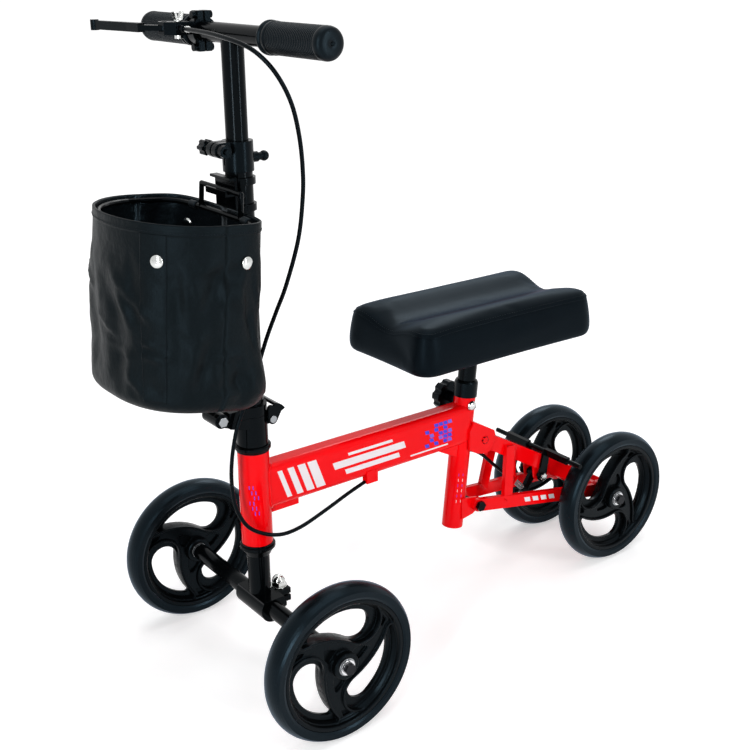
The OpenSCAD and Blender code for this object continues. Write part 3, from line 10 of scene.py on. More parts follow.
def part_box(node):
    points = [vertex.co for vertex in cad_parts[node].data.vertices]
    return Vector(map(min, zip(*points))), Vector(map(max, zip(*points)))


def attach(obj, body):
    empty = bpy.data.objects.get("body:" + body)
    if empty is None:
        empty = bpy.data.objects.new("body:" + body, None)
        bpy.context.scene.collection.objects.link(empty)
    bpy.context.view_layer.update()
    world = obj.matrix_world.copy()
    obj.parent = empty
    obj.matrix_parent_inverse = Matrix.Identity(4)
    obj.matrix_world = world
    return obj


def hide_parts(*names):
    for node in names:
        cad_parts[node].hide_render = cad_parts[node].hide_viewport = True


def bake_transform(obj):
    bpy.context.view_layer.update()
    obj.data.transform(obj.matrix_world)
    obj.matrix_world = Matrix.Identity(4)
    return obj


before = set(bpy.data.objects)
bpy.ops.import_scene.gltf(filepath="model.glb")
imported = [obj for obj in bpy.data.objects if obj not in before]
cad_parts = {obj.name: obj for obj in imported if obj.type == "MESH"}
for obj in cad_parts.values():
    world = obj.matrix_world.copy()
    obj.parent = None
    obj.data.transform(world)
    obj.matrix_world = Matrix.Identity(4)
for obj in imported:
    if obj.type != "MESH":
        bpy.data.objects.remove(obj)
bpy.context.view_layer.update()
MM = 0.001
SIDES = ((1, "left"), (-1, "right"))
CORNERS = ("fl", "fr", "rl", "rr")


def middle(node):
    """The middle of a node's box, in millimetres."""
    low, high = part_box(node)
    return (Vector(low) + Vector(high)) / 2 / MM


STEER = middle("head_tube").x          # the steering axis, which places along X are counted from


def at(x, y, z):
    """A place counted from the steering axis, in millimetres, as a point of the model."""
    return Vector(((STEER + x) * MM, y * MM, z * MM))


# Camera, at the place the photograph was taken from: millimetres and degrees

CAMERA = Sizes(place=(662.2, 1143.3, 889.9), azimuth=36.79, elevation=20.09, roll=-0.61, lens=56.1, sensor=36,
               shift=(-0.0042, -0.0053), nearest=50)


def in_scene(name, data):
    """A new object in the scene."""
    made = bpy.data.objects.new(name, data)
    bpy.context.collection.objects.link(made)
    return made


def place_camera():
    azimuth, elevation, roll = (radians(angle) for angle in (CAMERA.azimuth, CAMERA.elevation, CAMERA.roll))
    back = Vector((sin(azimuth) * cos(elevation), cos(azimuth) * cos(elevation), sin(elevation)))
    turn = back.to_track_quat("Z", "Y").to_matrix().to_4x4() @ Matrix.Rotation(roll, 4, "Z")
    camera = in_scene("camera", bpy.data.cameras.new("camera"))
    camera.matrix_world = Matrix.Translation(at(*CAMERA.place)) @ turn
    camera.data.lens, camera.data.sensor_width = CAMERA.lens, CAMERA.sensor
    camera.data.shift_x, camera.data.shift_y = CAMERA.shift
    camera.data.clip_start = CAMERA.nearest * MM
    bpy.context.scene.camera = camera


place_camera()


# Parts of materials; sizes are in metres

def srgb(code):
    """A hex colour, as it looks on a screen, in linear values."""
    parts = [int(code[i:i + 2], 16) / 255 for i in (1, 3, 5)]
    return [p / 12.92 if p <= 0.04045 else ((p + 0.055) / 1.055) ** 2.4 for p in parts] + [1]


def add(tree, kind, inputs=None, output=0, **settings):
    """Adds a shader node with its settings, sets or links its inputs by name or number, and gives one output."""
    made = tree.nodes.new("ShaderNode" + kind)
    for key, value in settings.items():
        setattr(made, key, value)
    for key, value in (inputs or {}).items():
        if isinstance(value, bpy.types.NodeSocket):
            tree.links.new(value, made.inputs[key])
        else:
            made.inputs[key].default_value = value
    return made.outputs[output] if made.outputs else None


def new_material(name):
    """A material, its empty tree, and the place on the object for its patterns."""
    material = bpy.data.materials.new(name)
    material.use_nodes = True
    tree = material.node_tree
    tree.nodes.clear()
    return material, tree, add(tree, "TexCoord", output="Object")


def patches(tree, place, size, detail, roughness=0.5):
    """Noise from 0 to 1 in patches of about this size."""
    return add(tree, "TexNoise", {"Vector": place, "Scale": 1 / size, "Detail": detail, "Roughness": roughness})


def between(tree, share, low, high):
    """A share from 0 to 1, as a value from low to high."""
    return add(tree, "MapRange", {"Value": share, "To Min": low, "To Max": high})


def mixed(tree, share, first, second):
    """A colour from one hex colour to another."""
    return add(tree, "Mix", {0: share, 6: srgb(first), 7: srgb(second)}, output=2, data_type="RGBA")


def calc(tree, operation, *values):
    return add(tree, "Math", dict(enumerate(values)), operation=operation)


def soft_edges(tree, radius):
    return add(tree, "Bevel", {"Radius": radius}, samples=4)


def relief(tree, height, strength, depth, **under):
    """A normal with this relief, over another one where Normal is given."""
    return add(tree, "Bump", {"Height": height, "Strength": strength, "Distance": depth, **under})


def finished(material, tree, inputs):
    """Ends a material with its surface."""
    add(tree, "OutputMaterial", {"Surface": add(tree, "BsdfPrincipled", inputs)})
    return material


def surface(name, colours, roughness, patch, grain=None, edge=None, pores=None, **inputs):
    """A material that varies in patches, with grain or pores in relief and soft edges. Patch is size and detail,
    grain is size, detail, strength and depth, and pores are size, strength and depth."""
    material, tree, place = new_material(name)
    share = patches(tree, place, *patch)
    inputs["Base Color"] = srgb(colours) if isinstance(colours, str) else mixed(tree, share, *colours)
    inputs["Roughness"] = between(tree, share, *roughness)
    if grain:
        under = {"Normal": soft_edges(tree, edge)} if edge else {}
        inputs["Normal"] = relief(tree, patches(tree, place, *grain[:2]), *grain[2:], **under)
    if pores:
        cells = add(tree, "TexVoronoi", {"Vector": place, "Scale": 1 / pores[0]}, feature="SMOOTH_F1")
        inputs["Normal"] = relief(tree, cells, *pores[1:])
    return finished(material, tree, inputs)


def cool_gloss(level, ior=1.5):
    """Gloss in the bluish tone of daylight lamps."""
    return {"IOR": ior, "Specular IOR Level": level, "Specular Tint": srgb("#b4dcf4")}


def painted_cool_sheen(roughness):
    """A clear film that mirrors nothing, and tones the gloss under it at a slant: a painted bluish sheen on the
    reflections.
    """
    return {"Coat Weight": 0.5, "Coat IOR": 1, "Coat Roughness": roughness, "Coat Tint": srgb("#d8ecf8")}


# Materials

def gloss_enamel(name, colours, roughness, level):
    """Baked enamel on steel tube: a clear deep coat with faint orange peel, 2.5 mm from crest to crest, that flows
    softly over edges and thins a little here and there."""
    return surface(name, colours, (roughness * 0.85, roughness * 1.2), patch=(0.045, 3),
                   grain=(0.0025, 1, 0.05, 0.0004), edge=0.0011, **cool_gloss(level),
                   **{"Coat Weight": 0.05, "Coat Roughness": 0.06})


def moulded_plastic(name, colour, roughness, level, grain, depth):
    """Injection-moulded nylon: an even satin skin with a fine spark-eroded grain from the mould and rounded edges."""
    return surface(name, colour, (roughness * 0.85, roughness * 1.15), patch=(0.06, 2), grain=(grain, 2, 0.25, depth),
                   edge=0.0014, **cool_gloss(level))


def bright_metal(name, colour, roughness, streak):
    """Plated steel: chrome or bright zinc, with faint polishing marks that blur the reflection a little."""
    return surface(name, colour, (roughness * 0.6, roughness * 1.5), patch=(0.0015, 3),
                   grain=(0.0015, 3, streak, 0.0001), edge=0.0006, Metallic=1)


def axle_bolt_metal(name, head_y):
    """Zinc-plated washer and spacer with a black-oxide bolt head, which starts head_y from the middle plane."""
    material, tree, place = new_material(name)
    across = add(tree, "SeparateXYZ", {"Vector": place}, output=1)
    head = calc(tree, "GREATER_THAN", calc(tree, "ABSOLUTE", across), head_y)
    return finished(material, tree, {
        "Base Color": mixed(tree, head, "#d9dadc", "#26272a"), "Metallic": 1,
        "Roughness": between(tree, head, 0.16, 0.36), "Normal": soft_edges(tree, radius=0.0007)})


def tyre_rubber(name):
    """Solid polyurethane tyre: near black, smooth from the mould, with a dull bloom in patches and fine pores."""
    return surface(name, ("#07090a", "#0c0e10"), (0.22, 0.3), patch=(0.03, 4), grain=(0.0009, 1, 0.12, 0.0003),
                   **cool_gloss(0.14, ior=1.52), **painted_cool_sheen(roughness=0.26))


def woven_canvas(name, colour, highlight, thread, roughness, level):
    """Coated polyester canvas: a plain weave, drawn a little coarser than its 0.6 mm threads so that it shows,
    crumpled, with the crowns of the weave painted lighter in patches: a painted highlight."""
    material, tree, place = new_material(name)
    lie = add(tree, "UVMap", uv_map="cloth")
    threads = {"Vector": lie, "Scale": pi / 10 / thread, "Distortion": 0.3, "Detail": 1}
    warp, weft = (add(tree, "TexWave", threads, output=1, bands_direction=way) for way in "XY")
    weave = calc(tree, "MULTIPLY", warp, weft)
    # Painted highlight: the crowns of the weave lighter, more so in some patches
    painted_crown_highlight = calc(tree, "MULTIPLY", weave, patches(tree, place, size=0.05, detail=4))
    crumple = patches(tree, place, size=0.028, detail=4, roughness=0.55)
    rumpled = relief(tree, crumple, strength=0.55, depth=0.004)
    return finished(material, tree, {
        "Base Color": mixed(tree, painted_crown_highlight, colour, highlight), "Roughness": roughness, **cool_gloss(level),
        "Normal": relief(tree, weave, strength=0.4, depth=0.0002, Normal=rumpled)})


def grained_vinyl(name):
    """Upholstery vinyl: fine calendered grain, 1.1 mm from pore to pore, and smoother where it is stretched."""
    return surface(name, ("#080b0e", "#0b0f12"), (0.35, 0.43), patch=(0.04, 3), pores=(0.0011, 0.15, 0.0002),
                   **cool_gloss(0.05), **painted_cool_sheen(roughness=0.39))


def printed_film(name, colour):
    """Vinyl transfer under lacquer: an even opaque ink with a slight mottle from printing."""
    return surface(name, colour, (0.272, 0.368), patch=(0.006, 2), **{"IOR": 1.5, "Specular IOR Level": 0.2})


red_enamel = gloss_enamel("red_gloss_enamel", ("#f4030a", "#ec0309"), roughness=0.15, level=0.1)
black_enamel = gloss_enamel("black_gloss_enamel", ("#030405", "#050607"), roughness=0.15, level=0.05)
black_nylon = moulded_plastic("black_moulded_nylon", "#050607", 0.27, 0.1, grain=0.0008, depth=0.00004)
black_abs = moulded_plastic("black_moulded_abs", "#040506", 0.24, 0.09, grain=0.0006, depth=0.00003)
grip_rubber = moulded_plastic("black_grip_rubber", "#06080a", 0.34, 0.13, grain=0.0007, depth=0.00005)
sheath_pvc = moulded_plastic("black_cable_sheath", "#040506", 0.28, 0.08, grain=0.0015, depth=0.00002)
sewing_thread = moulded_plastic("black_sewing_thread", "#111315", 0.6, 0.2, grain=0.0004, depth=0.0001)
chrome_plate = bright_metal("polished_chrome_plate", "#c8cac8", roughness=0.10, streak=0.02)
zinc_steel = bright_metal("bright_zinc_steel", "#8e9194", roughness=0.22, streak=0.05)
tyre_urethane = tyre_rubber("black_urethane_tyre")
# The second colour of each canvas is the painted highlight on the crowns of its weave
bag_canvas = woven_canvas("black_coated_canvas", "#080b0c", "#13181b", thread=0.0009, roughness=0.42, level=0.08)
bag_lining = woven_canvas("black_pvc_lining", "#0a0e11", "#141a1e", thread=0.0012, roughness=0.26, level=0.3)
seat_vinyl = grained_vinyl("black_grained_vinyl")
white_film = printed_film("white_transfer_film", "#e6dee2")
blue_film = printed_film("blue_transfer_film", "#3c3fd0")
violet_film = printed_film("violet_transfer_film", "#7a5ad2")
front_bolt_metal = axle_bolt_metal("front_axle_bolt_zinc", head_y=0.1941)
rear_bolt_metal = axle_bolt_metal("rear_axle_bolt_zinc", head_y=0.08835)

NODE_FINISH = {
    red_enamel: ["head_tube", "main_tube", "seat_tube", "upper_bracket", "lower_bracket", "rear_beam", "arm_left",
                 "arm_right", "strut_left", "strut_right", "rear_axle", "brake_lugs"],
    black_enamel: ["headset_cups", "brake_yoke", "steerer", "base_collar", "axle_saddle", "front_axle", "fold_lever",
                   "stem_lower", "basket_bracket", "basket_wire", "stem_upper", "handlebar", "seat_post", "qr_lever",
                   "frame_bolts"],
    black_abs: ["seat_collar", "stem_clamp", "clamp_knob", "pull_pin", "lever_perch", "brake_lever", "seat_knob"],
    tyre_urethane: ["tyre_" + corner for corner in CORNERS],
    zinc_steel: ["bearings_" + corner for corner in CORNERS] + ["fold_bolts"],
    chrome_plate: ["qr_skewer", "lock_clip"],
    front_bolt_metal: ["front_axle_bolts"],
    rear_bolt_metal: ["rear_axle_bolts"],
}
for finish, nodes in NODE_FINISH.items():
    for name in nodes:
        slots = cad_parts[name].data.materials
        if len(slots):
            slots[0] = finish
        else:
            slots.append(finish)


# Mesh tools

def piece(name, points, faces, material, body=None, slot=None, smooth=True):
    """A mesh from points in metres, which rides on a body where one is given."""
    mesh = bpy.data.meshes.new(name)
    mesh.from_pydata([tuple(p) for p in points], [], faces)
    tidy = bmesh.new()
    tidy.from_mesh(mesh)
    bmesh.ops.recalc_face_normals(tidy, faces=tidy.faces)
    tidy.to_mesh(mesh)
    tidy.free()
    if smooth:
        mesh.shade_smooth()
    mesh.materials.append(material)
    made = in_scene(name, mesh)
    if body:
        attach(made, body)
    return made


def skin(rings, shut=False):
    """Points and faces over rings of equally many points, with end caps unless they shut into a loop."""
    n, count = len(rings[0]), len(rings)
    points = [p for ring in rings for p in ring]
    faces = []
    for i in range(count if shut else count - 1):
        j = (i + 1) % count
        for k in range(n):
            m = (k + 1) % n
            faces.append((i * n + k, i * n + m, j * n + m, j * n + k))
    if not shut:
        faces.append(tuple(range(n - 1, -1, -1)))
        faces.append(tuple(range((count - 1) * n, count * n)))
    return points, faces


def merged(shapes):
    """The points and faces of several shapes in one list each."""
    points, faces = [], []
    for some, more in shapes:
        base = len(points)
        points += some
        faces += [tuple(base + i for i in f) for f in more]
    return points, faces


def polar(r, degrees):
    return Vector((r * cos(radians(degrees)), r * sin(radians(degrees))))


def arc(centre, r, start, end, steps):
    return [centre + polar(r, start + (end - start) * i / steps) for i in range(steps + 1)]


def through(points, steps):
    """A smooth curve through all the points, with steps on each stretch."""
    out = []
    for i in range(len(points) - 1):
        a, b = points[max(i - 1, 0)], points[i]
        c, d = points[i + 1], points[min(i + 2, len(points) - 1)]
        for k in range(steps):
            t = k / steps
            out.append(0.5 * (2 * b + (c - a) * t + (2 * a - 5 * b + 4 * c - d) * t * t
                              + (3 * b - a - 3 * c + d) * t ** 3))
    return out + [points[-1]]


def circle(centre, first, second, r, sides):
    """Points round centre, in the plane of two directions."""
    angles = [2 * pi * k / sides for k in range(sides)]
    return [centre + r * (cos(a) * first + sin(a) * second) for a in angles]


def tube(path, radius, sides, shut=False):
    """Rings of a round tube along a path, with one radius or one for each point, in metres."""
    n = len(path)
    tangents = []
    for i in range(n):
        before = path[(i - 1) % n] if shut else path[max(i - 1, 0)]
        after = path[(i + 1) % n] if shut else path[min(i + 1, n - 1)]
        tangents.append((after - before).normalized())
    square = tangents[0].orthogonal().normalized()
    rings = []
    for i in range(n):
        square = (square - square.dot(tangents[i]) * tangents[i]).normalized()
        r = radius[i] if hasattr(radius, "__len__") else radius
        rings.append(circle(path[i], square, tangents[i].cross(square), r, sides))
    return rings


def turned(profile, centre, axis, sides):
    """Rings of a turned shape: profile is radius and height along axis from centre, in millimetres."""
    axis = Vector(axis).normalized()
    first = axis.orthogonal().normalized()
    return [circle(centre + axis * h * MM, first, axis.cross(first), r * MM, sides) for r, h in profile]


def rod(name, path, radius, sides, material, body=None, slot=None, shut=False):
    return piece(name, *skin(tube(path, radius, sides, shut), shut), material, body, slot)


def turned_piece(name, profile, centre, axis, sides, material, body, slot):
    return piece(name, *skin(turned(profile, centre, axis, sides)), material, body, slot)


def stitches(name, spots, length, radius, body, slot):
    """A run of short thread stitches: spots are (place, way along, way out)."""
    arch, radii = radius * 0.7, [radius * 0.5, radius, radius, radius * 0.5]
    shapes = []
    for place, along, out in spots:
        path = [place + along * length * t + out * (arch * sin(pi * (t + 0.5))) for t in (-0.5, -0.2, 0.2, 0.5)]
        shapes.append(skin(tube(path, radii, 6)))
    return piece(name, *merged(shapes), sewing_thread, body, slot)


# Cables, on the same routes as their solids

BAR_ROUTE = [(30, -50, 804), (32, -36, 804), (34, 20, 802), (30, 76, 794), (20, 98, 780), (8, 107, 760),
             (-4, 109, 734), (-14, 105, 702), (-21, 99, 668), (-24, 93, 634)]
STEM_ROUTE = [(-24, 93, 634), (-24, 81, 584), (-20, 59, 528), (-15, 43, 493), (-8, 30, 458), (6, 25, 415),
              (20, 24, 384)]
LOOP_ROUTE = [(20, 24, 384), (29, 24, 366), (36, 23, 346), (41, 20, 314), (42, 18, 282), (39, 20, 250),
              (28, 25, 224), (8, 30, 209), (-16, 34, 202), (-45, 32, 202), (-82, 27, 209), (-126, 19, 218),
              (-160, 12, 223)]
REAR_ROUTE = [(-351.2, 0, 212), (-360, 0, 209), (-376, 0, 199), (-394, 0, 182), (-414, 0, 163), (-435, 0, 145)]
CABLE_R, CABLE_SIDES, CABLE_STEPS = 2.5 * MM, 12, 8
FOLD_STRETCHES = 4             # stretches of the loop in its first piece; the rest make its second piece
whole = through([at(*p) for p in BAR_ROUTE[:-1] + STEM_ROUTE[:-1] + LOOP_ROUTE], CABLE_STEPS)
bar_end = CABLE_STEPS * (len(BAR_ROUTE) - 1)
stem_end = bar_end + CABLE_STEPS * (len(STEM_ROUTE) - 1)
fold_end = stem_end + CABLE_STEPS * FOLD_STRETCHES


def cable_piece(name, path):
    return rod(name, path, CABLE_R, CABLE_SIDES, sheath_pvc, slot="cable_black")


bar_cable = cable_piece("bar_cable", whole[:bar_end + 1])
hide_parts("cable_bar")
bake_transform(bar_cable)
stem_cable = cable_piece("stem_cable", whole[bar_end:stem_end + 1])
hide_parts("cable_stem")
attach(stem_cable, "stem")
fold_cable = cable_piece("fold_cable", whole[stem_end:fold_end + 1])
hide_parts("cable_loop")
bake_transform(fold_cable)
loop_cable = cable_piece("loop_cable", whole[fold_end:])
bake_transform(loop_cable)
rear_cable = cable_piece("rear_cable", through([at(*p) for p in REAR_ROUTE], 6))
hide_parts("cable_rear")
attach(rear_cable, "frame")


def brake_spring_and_wire():
    """The rear brake's return spring, and the bare cable wire through it, from the cable stop to the crank."""
    crank, stop = Vector((-464, 0, 117)), Vector((-440, 0, 141))
    coil_r, wire, turns, per_turn = 3.8, 1.4, 7, 24
    first, ends = 6.15, 9.3            # from the crank to the first coil, and what both ends leave free
    inner_r, inner_steps = 0.8, 16
    pull = (stop - crank).normalized()
    across = Vector((-pull.z, 0, pull.x))
    run = (stop - crank).length - ends - wire
    coil = []
    for i in range(per_turn * turns + 1):
        angle = 2 * pi * i / per_turn
        centre = crank + pull * (first + wire / 2 + run * i / (per_turn * turns))
        coil.append(at(*(centre + across * coil_r * cos(angle) + Vector((0, coil_r * sin(angle), 0)))))
    line = [at(*(stop + (crank - stop) * i / inner_steps)) for i in range(inner_steps + 1)]
    spring = rod("return_spring", coil, wire / 2 * MM, 10, zinc_steel, slot="steel")
    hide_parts("brake_spring")
    inner = rod("inner_brake_wire", line, inner_r * MM, 8, zinc_steel, slot="steel")
    for made in (spring, inner):
        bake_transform(made)


brake_spring_and_wire()


# Padded seat: lengths in millimetres

PAD = Sizes(bolster=61, dip=14, roll=3.5, roll_run=70, front_dip=0.8, shoulder=5, corner=27, least_corner=3, bow=2.2)
# The pad's rings from its underside up: how far in, with a share of the crown's height, and then a drop below it
PAD_SIDE = [(9, 0), (5, 0.02), (2.2, 0.06), (0.6, 0.13), (0, 0.22), (0.3, 0.32), (0.8, 0.42), (1.6, 0.52),
            (2.6, 0.62), (3.6, 0.71), (4.6, 0.79)]
PAD_BROW = [(5.4, 9.5), (6.2, 6.6), (7.6, 4.4), (9.8, 2.6), (13, 1.3), (17, 0.5), (22, 0)]
PAD_TOP = (0.86, 0.72, 0.58, 0.44, 0.3, 0.16)      # the last ring drawn together to the middle
SEAM_RING, STITCH_RING = 12, 14


def pad_outline(inset, half_length, half_width):
    """A rounded rectangle drawn in by inset, whose sides bow in a little between the corners."""
    r = max(PAD.corner - inset, PAD.least_corner)
    x, y = half_length - inset - r, half_width - inset - r
    corners = [Vector(p) for p in ((x, y), (-x, y), (-x, -y), (x, -y))]
    ring = []
    for i, steps in enumerate((20, 10, 20, 10)):
        ring += arc(corners[i], r, 90 * i, 90 * i + 90, 8)
        out = polar(1, 90 * i + 90)
        last, goal = ring[-1], corners[(i + 1) % 4] + r * out
        for k in range(1, steps):
            t = k / steps
            ring.append(last + (goal - last) * t - out * PAD.bow * sin(pi * t))
    return ring


def seat_pad():
    """The pad as it is sewn, dished along its middle and rolled down in front, and its rings."""
    low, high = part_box("seat_pad")
    centre = middle("seat_pad")
    floor, height = low[2] / MM, (high[2] - low[2]) / MM
    half_length, half_width = ((high[i] - low[i]) / 2 / MM for i in (0, 1))

    def crown(x, y):
        front = max(0, (x - half_length + PAD.roll_run) / PAD.roll_run) ** 2
        out = abs(y) - PAD.bolster
        if out < 0:
            dip = PAD.dip * (1 - (1 - PAD.front_dip) * front)
            hollow = dip * (1 + cos(pi * y / PAD.bolster)) / 2
        else:
            hollow = PAD.shoulder * (out / (half_width - PAD.bolster)) ** 2
        return height - front * PAD.roll - hollow

    def ring(inset, part=1, drop=0, shrink=1):
        spots = [p * shrink for p in pad_outline(inset, half_length, half_width)]
        return [Vector((centre.x + p.x, centre.y + p.y, floor + part * (crown(p.x, p.y) - drop))) * MM for p in spots]

    rings = [ring(inset, part) for inset, part in PAD_SIDE] + [ring(inset, drop=drop) for inset, drop in PAD_BROW]
    rings += [ring(PAD_BROW[-1][0], shrink=shrink) for shrink in PAD_TOP]
    return piece("seat_cushion", *skin(rings), seat_vinyl), rings


def reshape(obj, kind, **settings):
    """Adds a modifier and applies it."""
    added = obj.modifiers.new(kind, kind)
    for key, value in settings.items():
        setattr(added, key, value)
    with bpy.context.temp_override(object=obj, active_object=obj, selected_objects=[obj]):
        bpy.ops.object.modifier_apply(modifier=added.name)


AIR = {"use_pressure": True, "uniform_pressure_force": 3, "quality": 5, "tension_stiffness": 40,
       "compression_stiffness": 40, "shear_stiffness": 20, "bending_stiffness": 6, "vertex_group_mass": "held"}


def inflate(obj, voxel, held_below, farthest, frames):
    """Fills the pad with air for a moment, holding its underside and how far any point may go."""
    reshape(obj, "REMESH", mode="VOXEL", voxel_size=voxel)
    rest = [v.co.copy() for v in obj.data.vertices]
    held = obj.vertex_groups.new(name="held")
    held.add([i for i, p in enumerate(rest) if p.z < held_below], 1, "REPLACE")
    cloth = obj.modifiers.new("cloth", "CLOTH")
    for key, value in AIR.items():
        setattr(cloth.settings, key, value)
    cloth.settings.effector_weights.gravity = 0
    cloth.collision_settings.use_collision = False
    scene = bpy.context.scene
    for step in range(1, frames + 1):
        scene.frame_set(step)
    seen = obj.evaluated_get(bpy.context.evaluated_depsgraph_get())
    moved = [v.co.copy() for v in seen.data.vertices]
    obj.modifiers.remove(cloth)
    obj.vertex_groups.remove(held)
    for vertex, start, end in zip(obj.data.vertices, rest, moved):
        step = end - start
        vertex.co = start + (step if step.length < farthest else step * (farthest / step.length))
    scene.frame_set(1)


cushion, pad_rings = seat_pad()
inflate(cushion, voxel=4.5 * MM, held_below=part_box("seat_pad")[0][2] + 14 * MM, farthest=3.5 * MM, frames=16)
reshape(cushion, "SMOOTH", factor=0.5, iterations=4)
reshape(cushion, "SUBSURF", levels=1, render_levels=1)
cushion.data.shade_smooth()


def pad_seam():
    """The seam between the pad's side and its top: a narrow welt with a row of stitches above it."""
    welt_r, welt_lift, steps = 0.75, 0.25, 3
    line, runs = [], []
    for p in pad_rings[SEAM_RING]:
        _, here, out, _ = cushion.closest_point_on_mesh(p)
        line.append(here + out * welt_lift * MM)
    line = through(line + line[:1], steps)[:-1]
    rod("seat_seam_welt", line, welt_r * MM, 8, seat_vinyl, "seat", "vinyl", shut=True)
    upper = through(pad_rings[STITCH_RING] + pad_rings[STITCH_RING][:1], steps)[:-1]
    for p, following in zip(upper, upper[1:] + upper[:1]):
        _, here, out, _ = cushion.closest_point_on_mesh(p)
        runs.append((here, (following - p).normalized(), out))
    stitches("seat_seam_stitches", runs, 2.4 * MM, 0.3 * MM, "seat", "vinyl")


pad_seam()
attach(cushion, "seat")
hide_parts("seat_pad")


# Canvas basket: lengths in millimetres

BAG = Sizes(depth=146, mid=60, half_y=105, height=204, square=4.5, round=2.1, back=19.5, rim=613, tilt=5, edge=16,
            wall=2.4, hem=10, hem_lift=0.7, foot_square=0.35, sag=3.5, rear_sag=14, belly=1, fold=1.3, ripple=1.8,
            fine_ripple=0.9)
AROUND = 220                       # points in each ring of the bag
LOW = BAG.height - BAG.edge        # depth at which the bag's foot begins to round
WIRE_IN, WIRE_DOWN = 6.05, 6       # the basket's wire rim inside the bag: in from its side and down from its edge
STRIP_TOP, STRIP_FOOT = (31.5, 50.8), (34.6, 53.3)     # the strip's edges round the bag in degrees, at rim and foot


def bag_point(x, y, z):
    """A place in the bag's own leaning frame, from its back edge, as a point of the model. The foot sags."""
    tilt, aside = radians(BAG.tilt), y / BAG.half_y
    rear = max(0, 1 - x / BAG.depth) ** 3
    z -= (BAG.sag * max(0, -aside) + BAG.rear_sag * max(0, aside) * rear) * (z / BAG.height) ** 2
    return at(BAG.back + x * cos(tilt) - z * sin(tilt), y, BAG.rim + x * sin(tilt) + z * cos(tilt))


def bag_plan(turn, inset, depth=0):
    """The bag's outline seen from above: squarish at the back, round in front and squarer towards its foot."""
    c, s = cos(turn), sin(turn)
    if c < 0:
        power, reach = BAG.square, BAG.mid
    else:
        power = BAG.round + BAG.foot_square * (max(depth, 0) / BAG.height) ** 1.5
        reach = BAG.depth - BAG.mid
    return Vector((BAG.mid + copysign(abs(c) ** (2 / power), c) * (reach - inset),
                   copysign(abs(s) ** (2 / power), s) * (BAG.half_y - inset)))


def even_turns(count):
    """Turns whose places on the outline are evenly far apart, and the outline's length in millimetres."""
    fine = [2 * pi * i / 3600 for i in range(3601)]
    spots = [bag_plan(t, 0) for t in fine]
    run = [0]
    for a, b in zip(spots, spots[1:]):
        run.append(run[-1] + (b - a).length)
    turns, i = [], 0
    for k in range(count):
        while run[i + 1] < run[-1] * k / count:
            i += 1
        turns.append(fine[i])
    return turns, run[-1]


# Folds of the cloth: place round the bag in degrees, depth below the rim, reach round, reach down, height, slant
FOLDS = [
    (17, 85, 5, 28, 3.2, 0.6), (9, 98, 6, 28, -3, 0.6), (-4, 70, 9, 30, 1.8, -0.1), (-14, 130, 9, 46, -2.4, 0.1),
    (-30, 95, 8, 40, 2, -0.1), (12, 150, 7, 34, -3.2, 0.2), (23, 162, 5, 28, 2.4, -0.1), (26, 60, 4, 24, -1.6, 0.1),
    (92, 72, 5, 26, 3, -0.3), (84, 64, 6, 30, -3.2, -0.35), (66, 60, 6, 22, 2.6, 0.5), (60, 96, 4.5, 44, -2.8, 0.08),
    (72, 138, 5, 30, 2.8, -0.3), (79, 150, 4, 26, -3.2, -0.3), (88, 172, 4, 16, 3, 0.2), (95, 168, 3, 18, -3, 0.2),
    (43, 133, 9, 4.5, -2.2, 0), (43, 141, 9, 4.5, 2, 0), (40, 80, 8, 18, 1.4, 0.3), (46, 178, 8, 10, -1.8, 0.2),
    (110, 178, 18, 34, 7, 0), (134, 178, 14, 34, 6, 0), (104, 110, 6, 40, -2, 0.1), (-55, 150, 8, 40, -2.4, 0.1),
    (-75, 90, 7, 45, 2.2, 0.15), (-90, 140, 6, 40, -2.4, -0.15), (-64, 60, 8, 30, -2, 0.1)]

# Creases of the cloth: from place and depth to place and depth, height, width
CREASES = [
    (14, 64, 36, 96, 3, 5), (36, 127, 55, 139, 2.2, 3.2), (66, 60, 70, 82, -2, 4), (72, 46, 92, 38, 2.4, 6),
    (90, 64, 96, 90, 2.6, 5), (80, 143, 95, 137, 2.2, 4), (86, 176, 102, 156, -2.8, 5), (4, 137, 24, 145, 2, 4),
    (-6, 110, 10, 128, 2, 4), (58, 106, 76, 120, 1.8, 4), (104, 100, 112, 130, -2.2, 5), (24, 168, 34, 186, 2, 4),
    (-40, 60, -20, 84, 2.2, 5), (-60, 120, -44, 150, 2.4, 5), (-84, 70, -76, 110, -2.2, 5), (112, 60, 120, 84, 2, 5)]
MM_PER_DEGREE = 1.6
FREE_BELOW_RIM, FREE_ABOVE_FOOT = (16, 30), (4, 22)    # where the cloth begins to move freely, and over what run


def hump(distance, wide):
    return exp(-(distance / wide) ** 2)


def way_round(degrees):
    """An angle as the shorter way round."""
    return (degrees + 180) % 360 - 180


def crease_lift(degrees, depth):
    """A sharp ridge along each crease with a shallow valley beside it, fading at both ends."""
    out = 0
    for turn0, down0, turn1, down1, high, wide in CREASES:
        u, v = way_round(degrees - turn0) * MM_PER_DEGREE, depth - down0
        du, dv = (turn1 - turn0) * MM_PER_DEGREE, down1 - down0
        long = hypot(du, dv)
        past = max(0, abs((u * du + v * dv) / long ** 2 - 0.5) - 0.35)
        aside = (v * du - u * dv) / long
        out += high * exp(-past ** 2 / 0.08) * (hump(aside, wide) - 0.6 * hump(aside - 1.7 * wide, wide))
    return out


def bag_swell(degrees, depth):
    """How far the cloth stands out: a little belly, and folds, creases and a ripple away from the rim and foot."""
    def loose(way, start, run):
        return min(1, max(0, (way - start) / run))
    free = loose(depth, *FREE_BELOW_RIM) * loose(BAG.height - depth, *FREE_ABOVE_FOOT)
    out = crease_lift(degrees, depth)
    for turn, down, wide, tall, high, slant in FOLDS:
        aside = way_round(degrees - turn - slant * (depth - down) * 0.5)
        out += BAG.fold * high * hump(aside, wide) * hump(depth - down, tall)
    p = Vector((*polar(3, degrees), depth / 40))
    out += BAG.ripple * noise.noise(p) + BAG.fine_ripple * noise.noise(p * 2.6)
    return BAG.belly * sin(pi * depth / BAG.height) + free * out


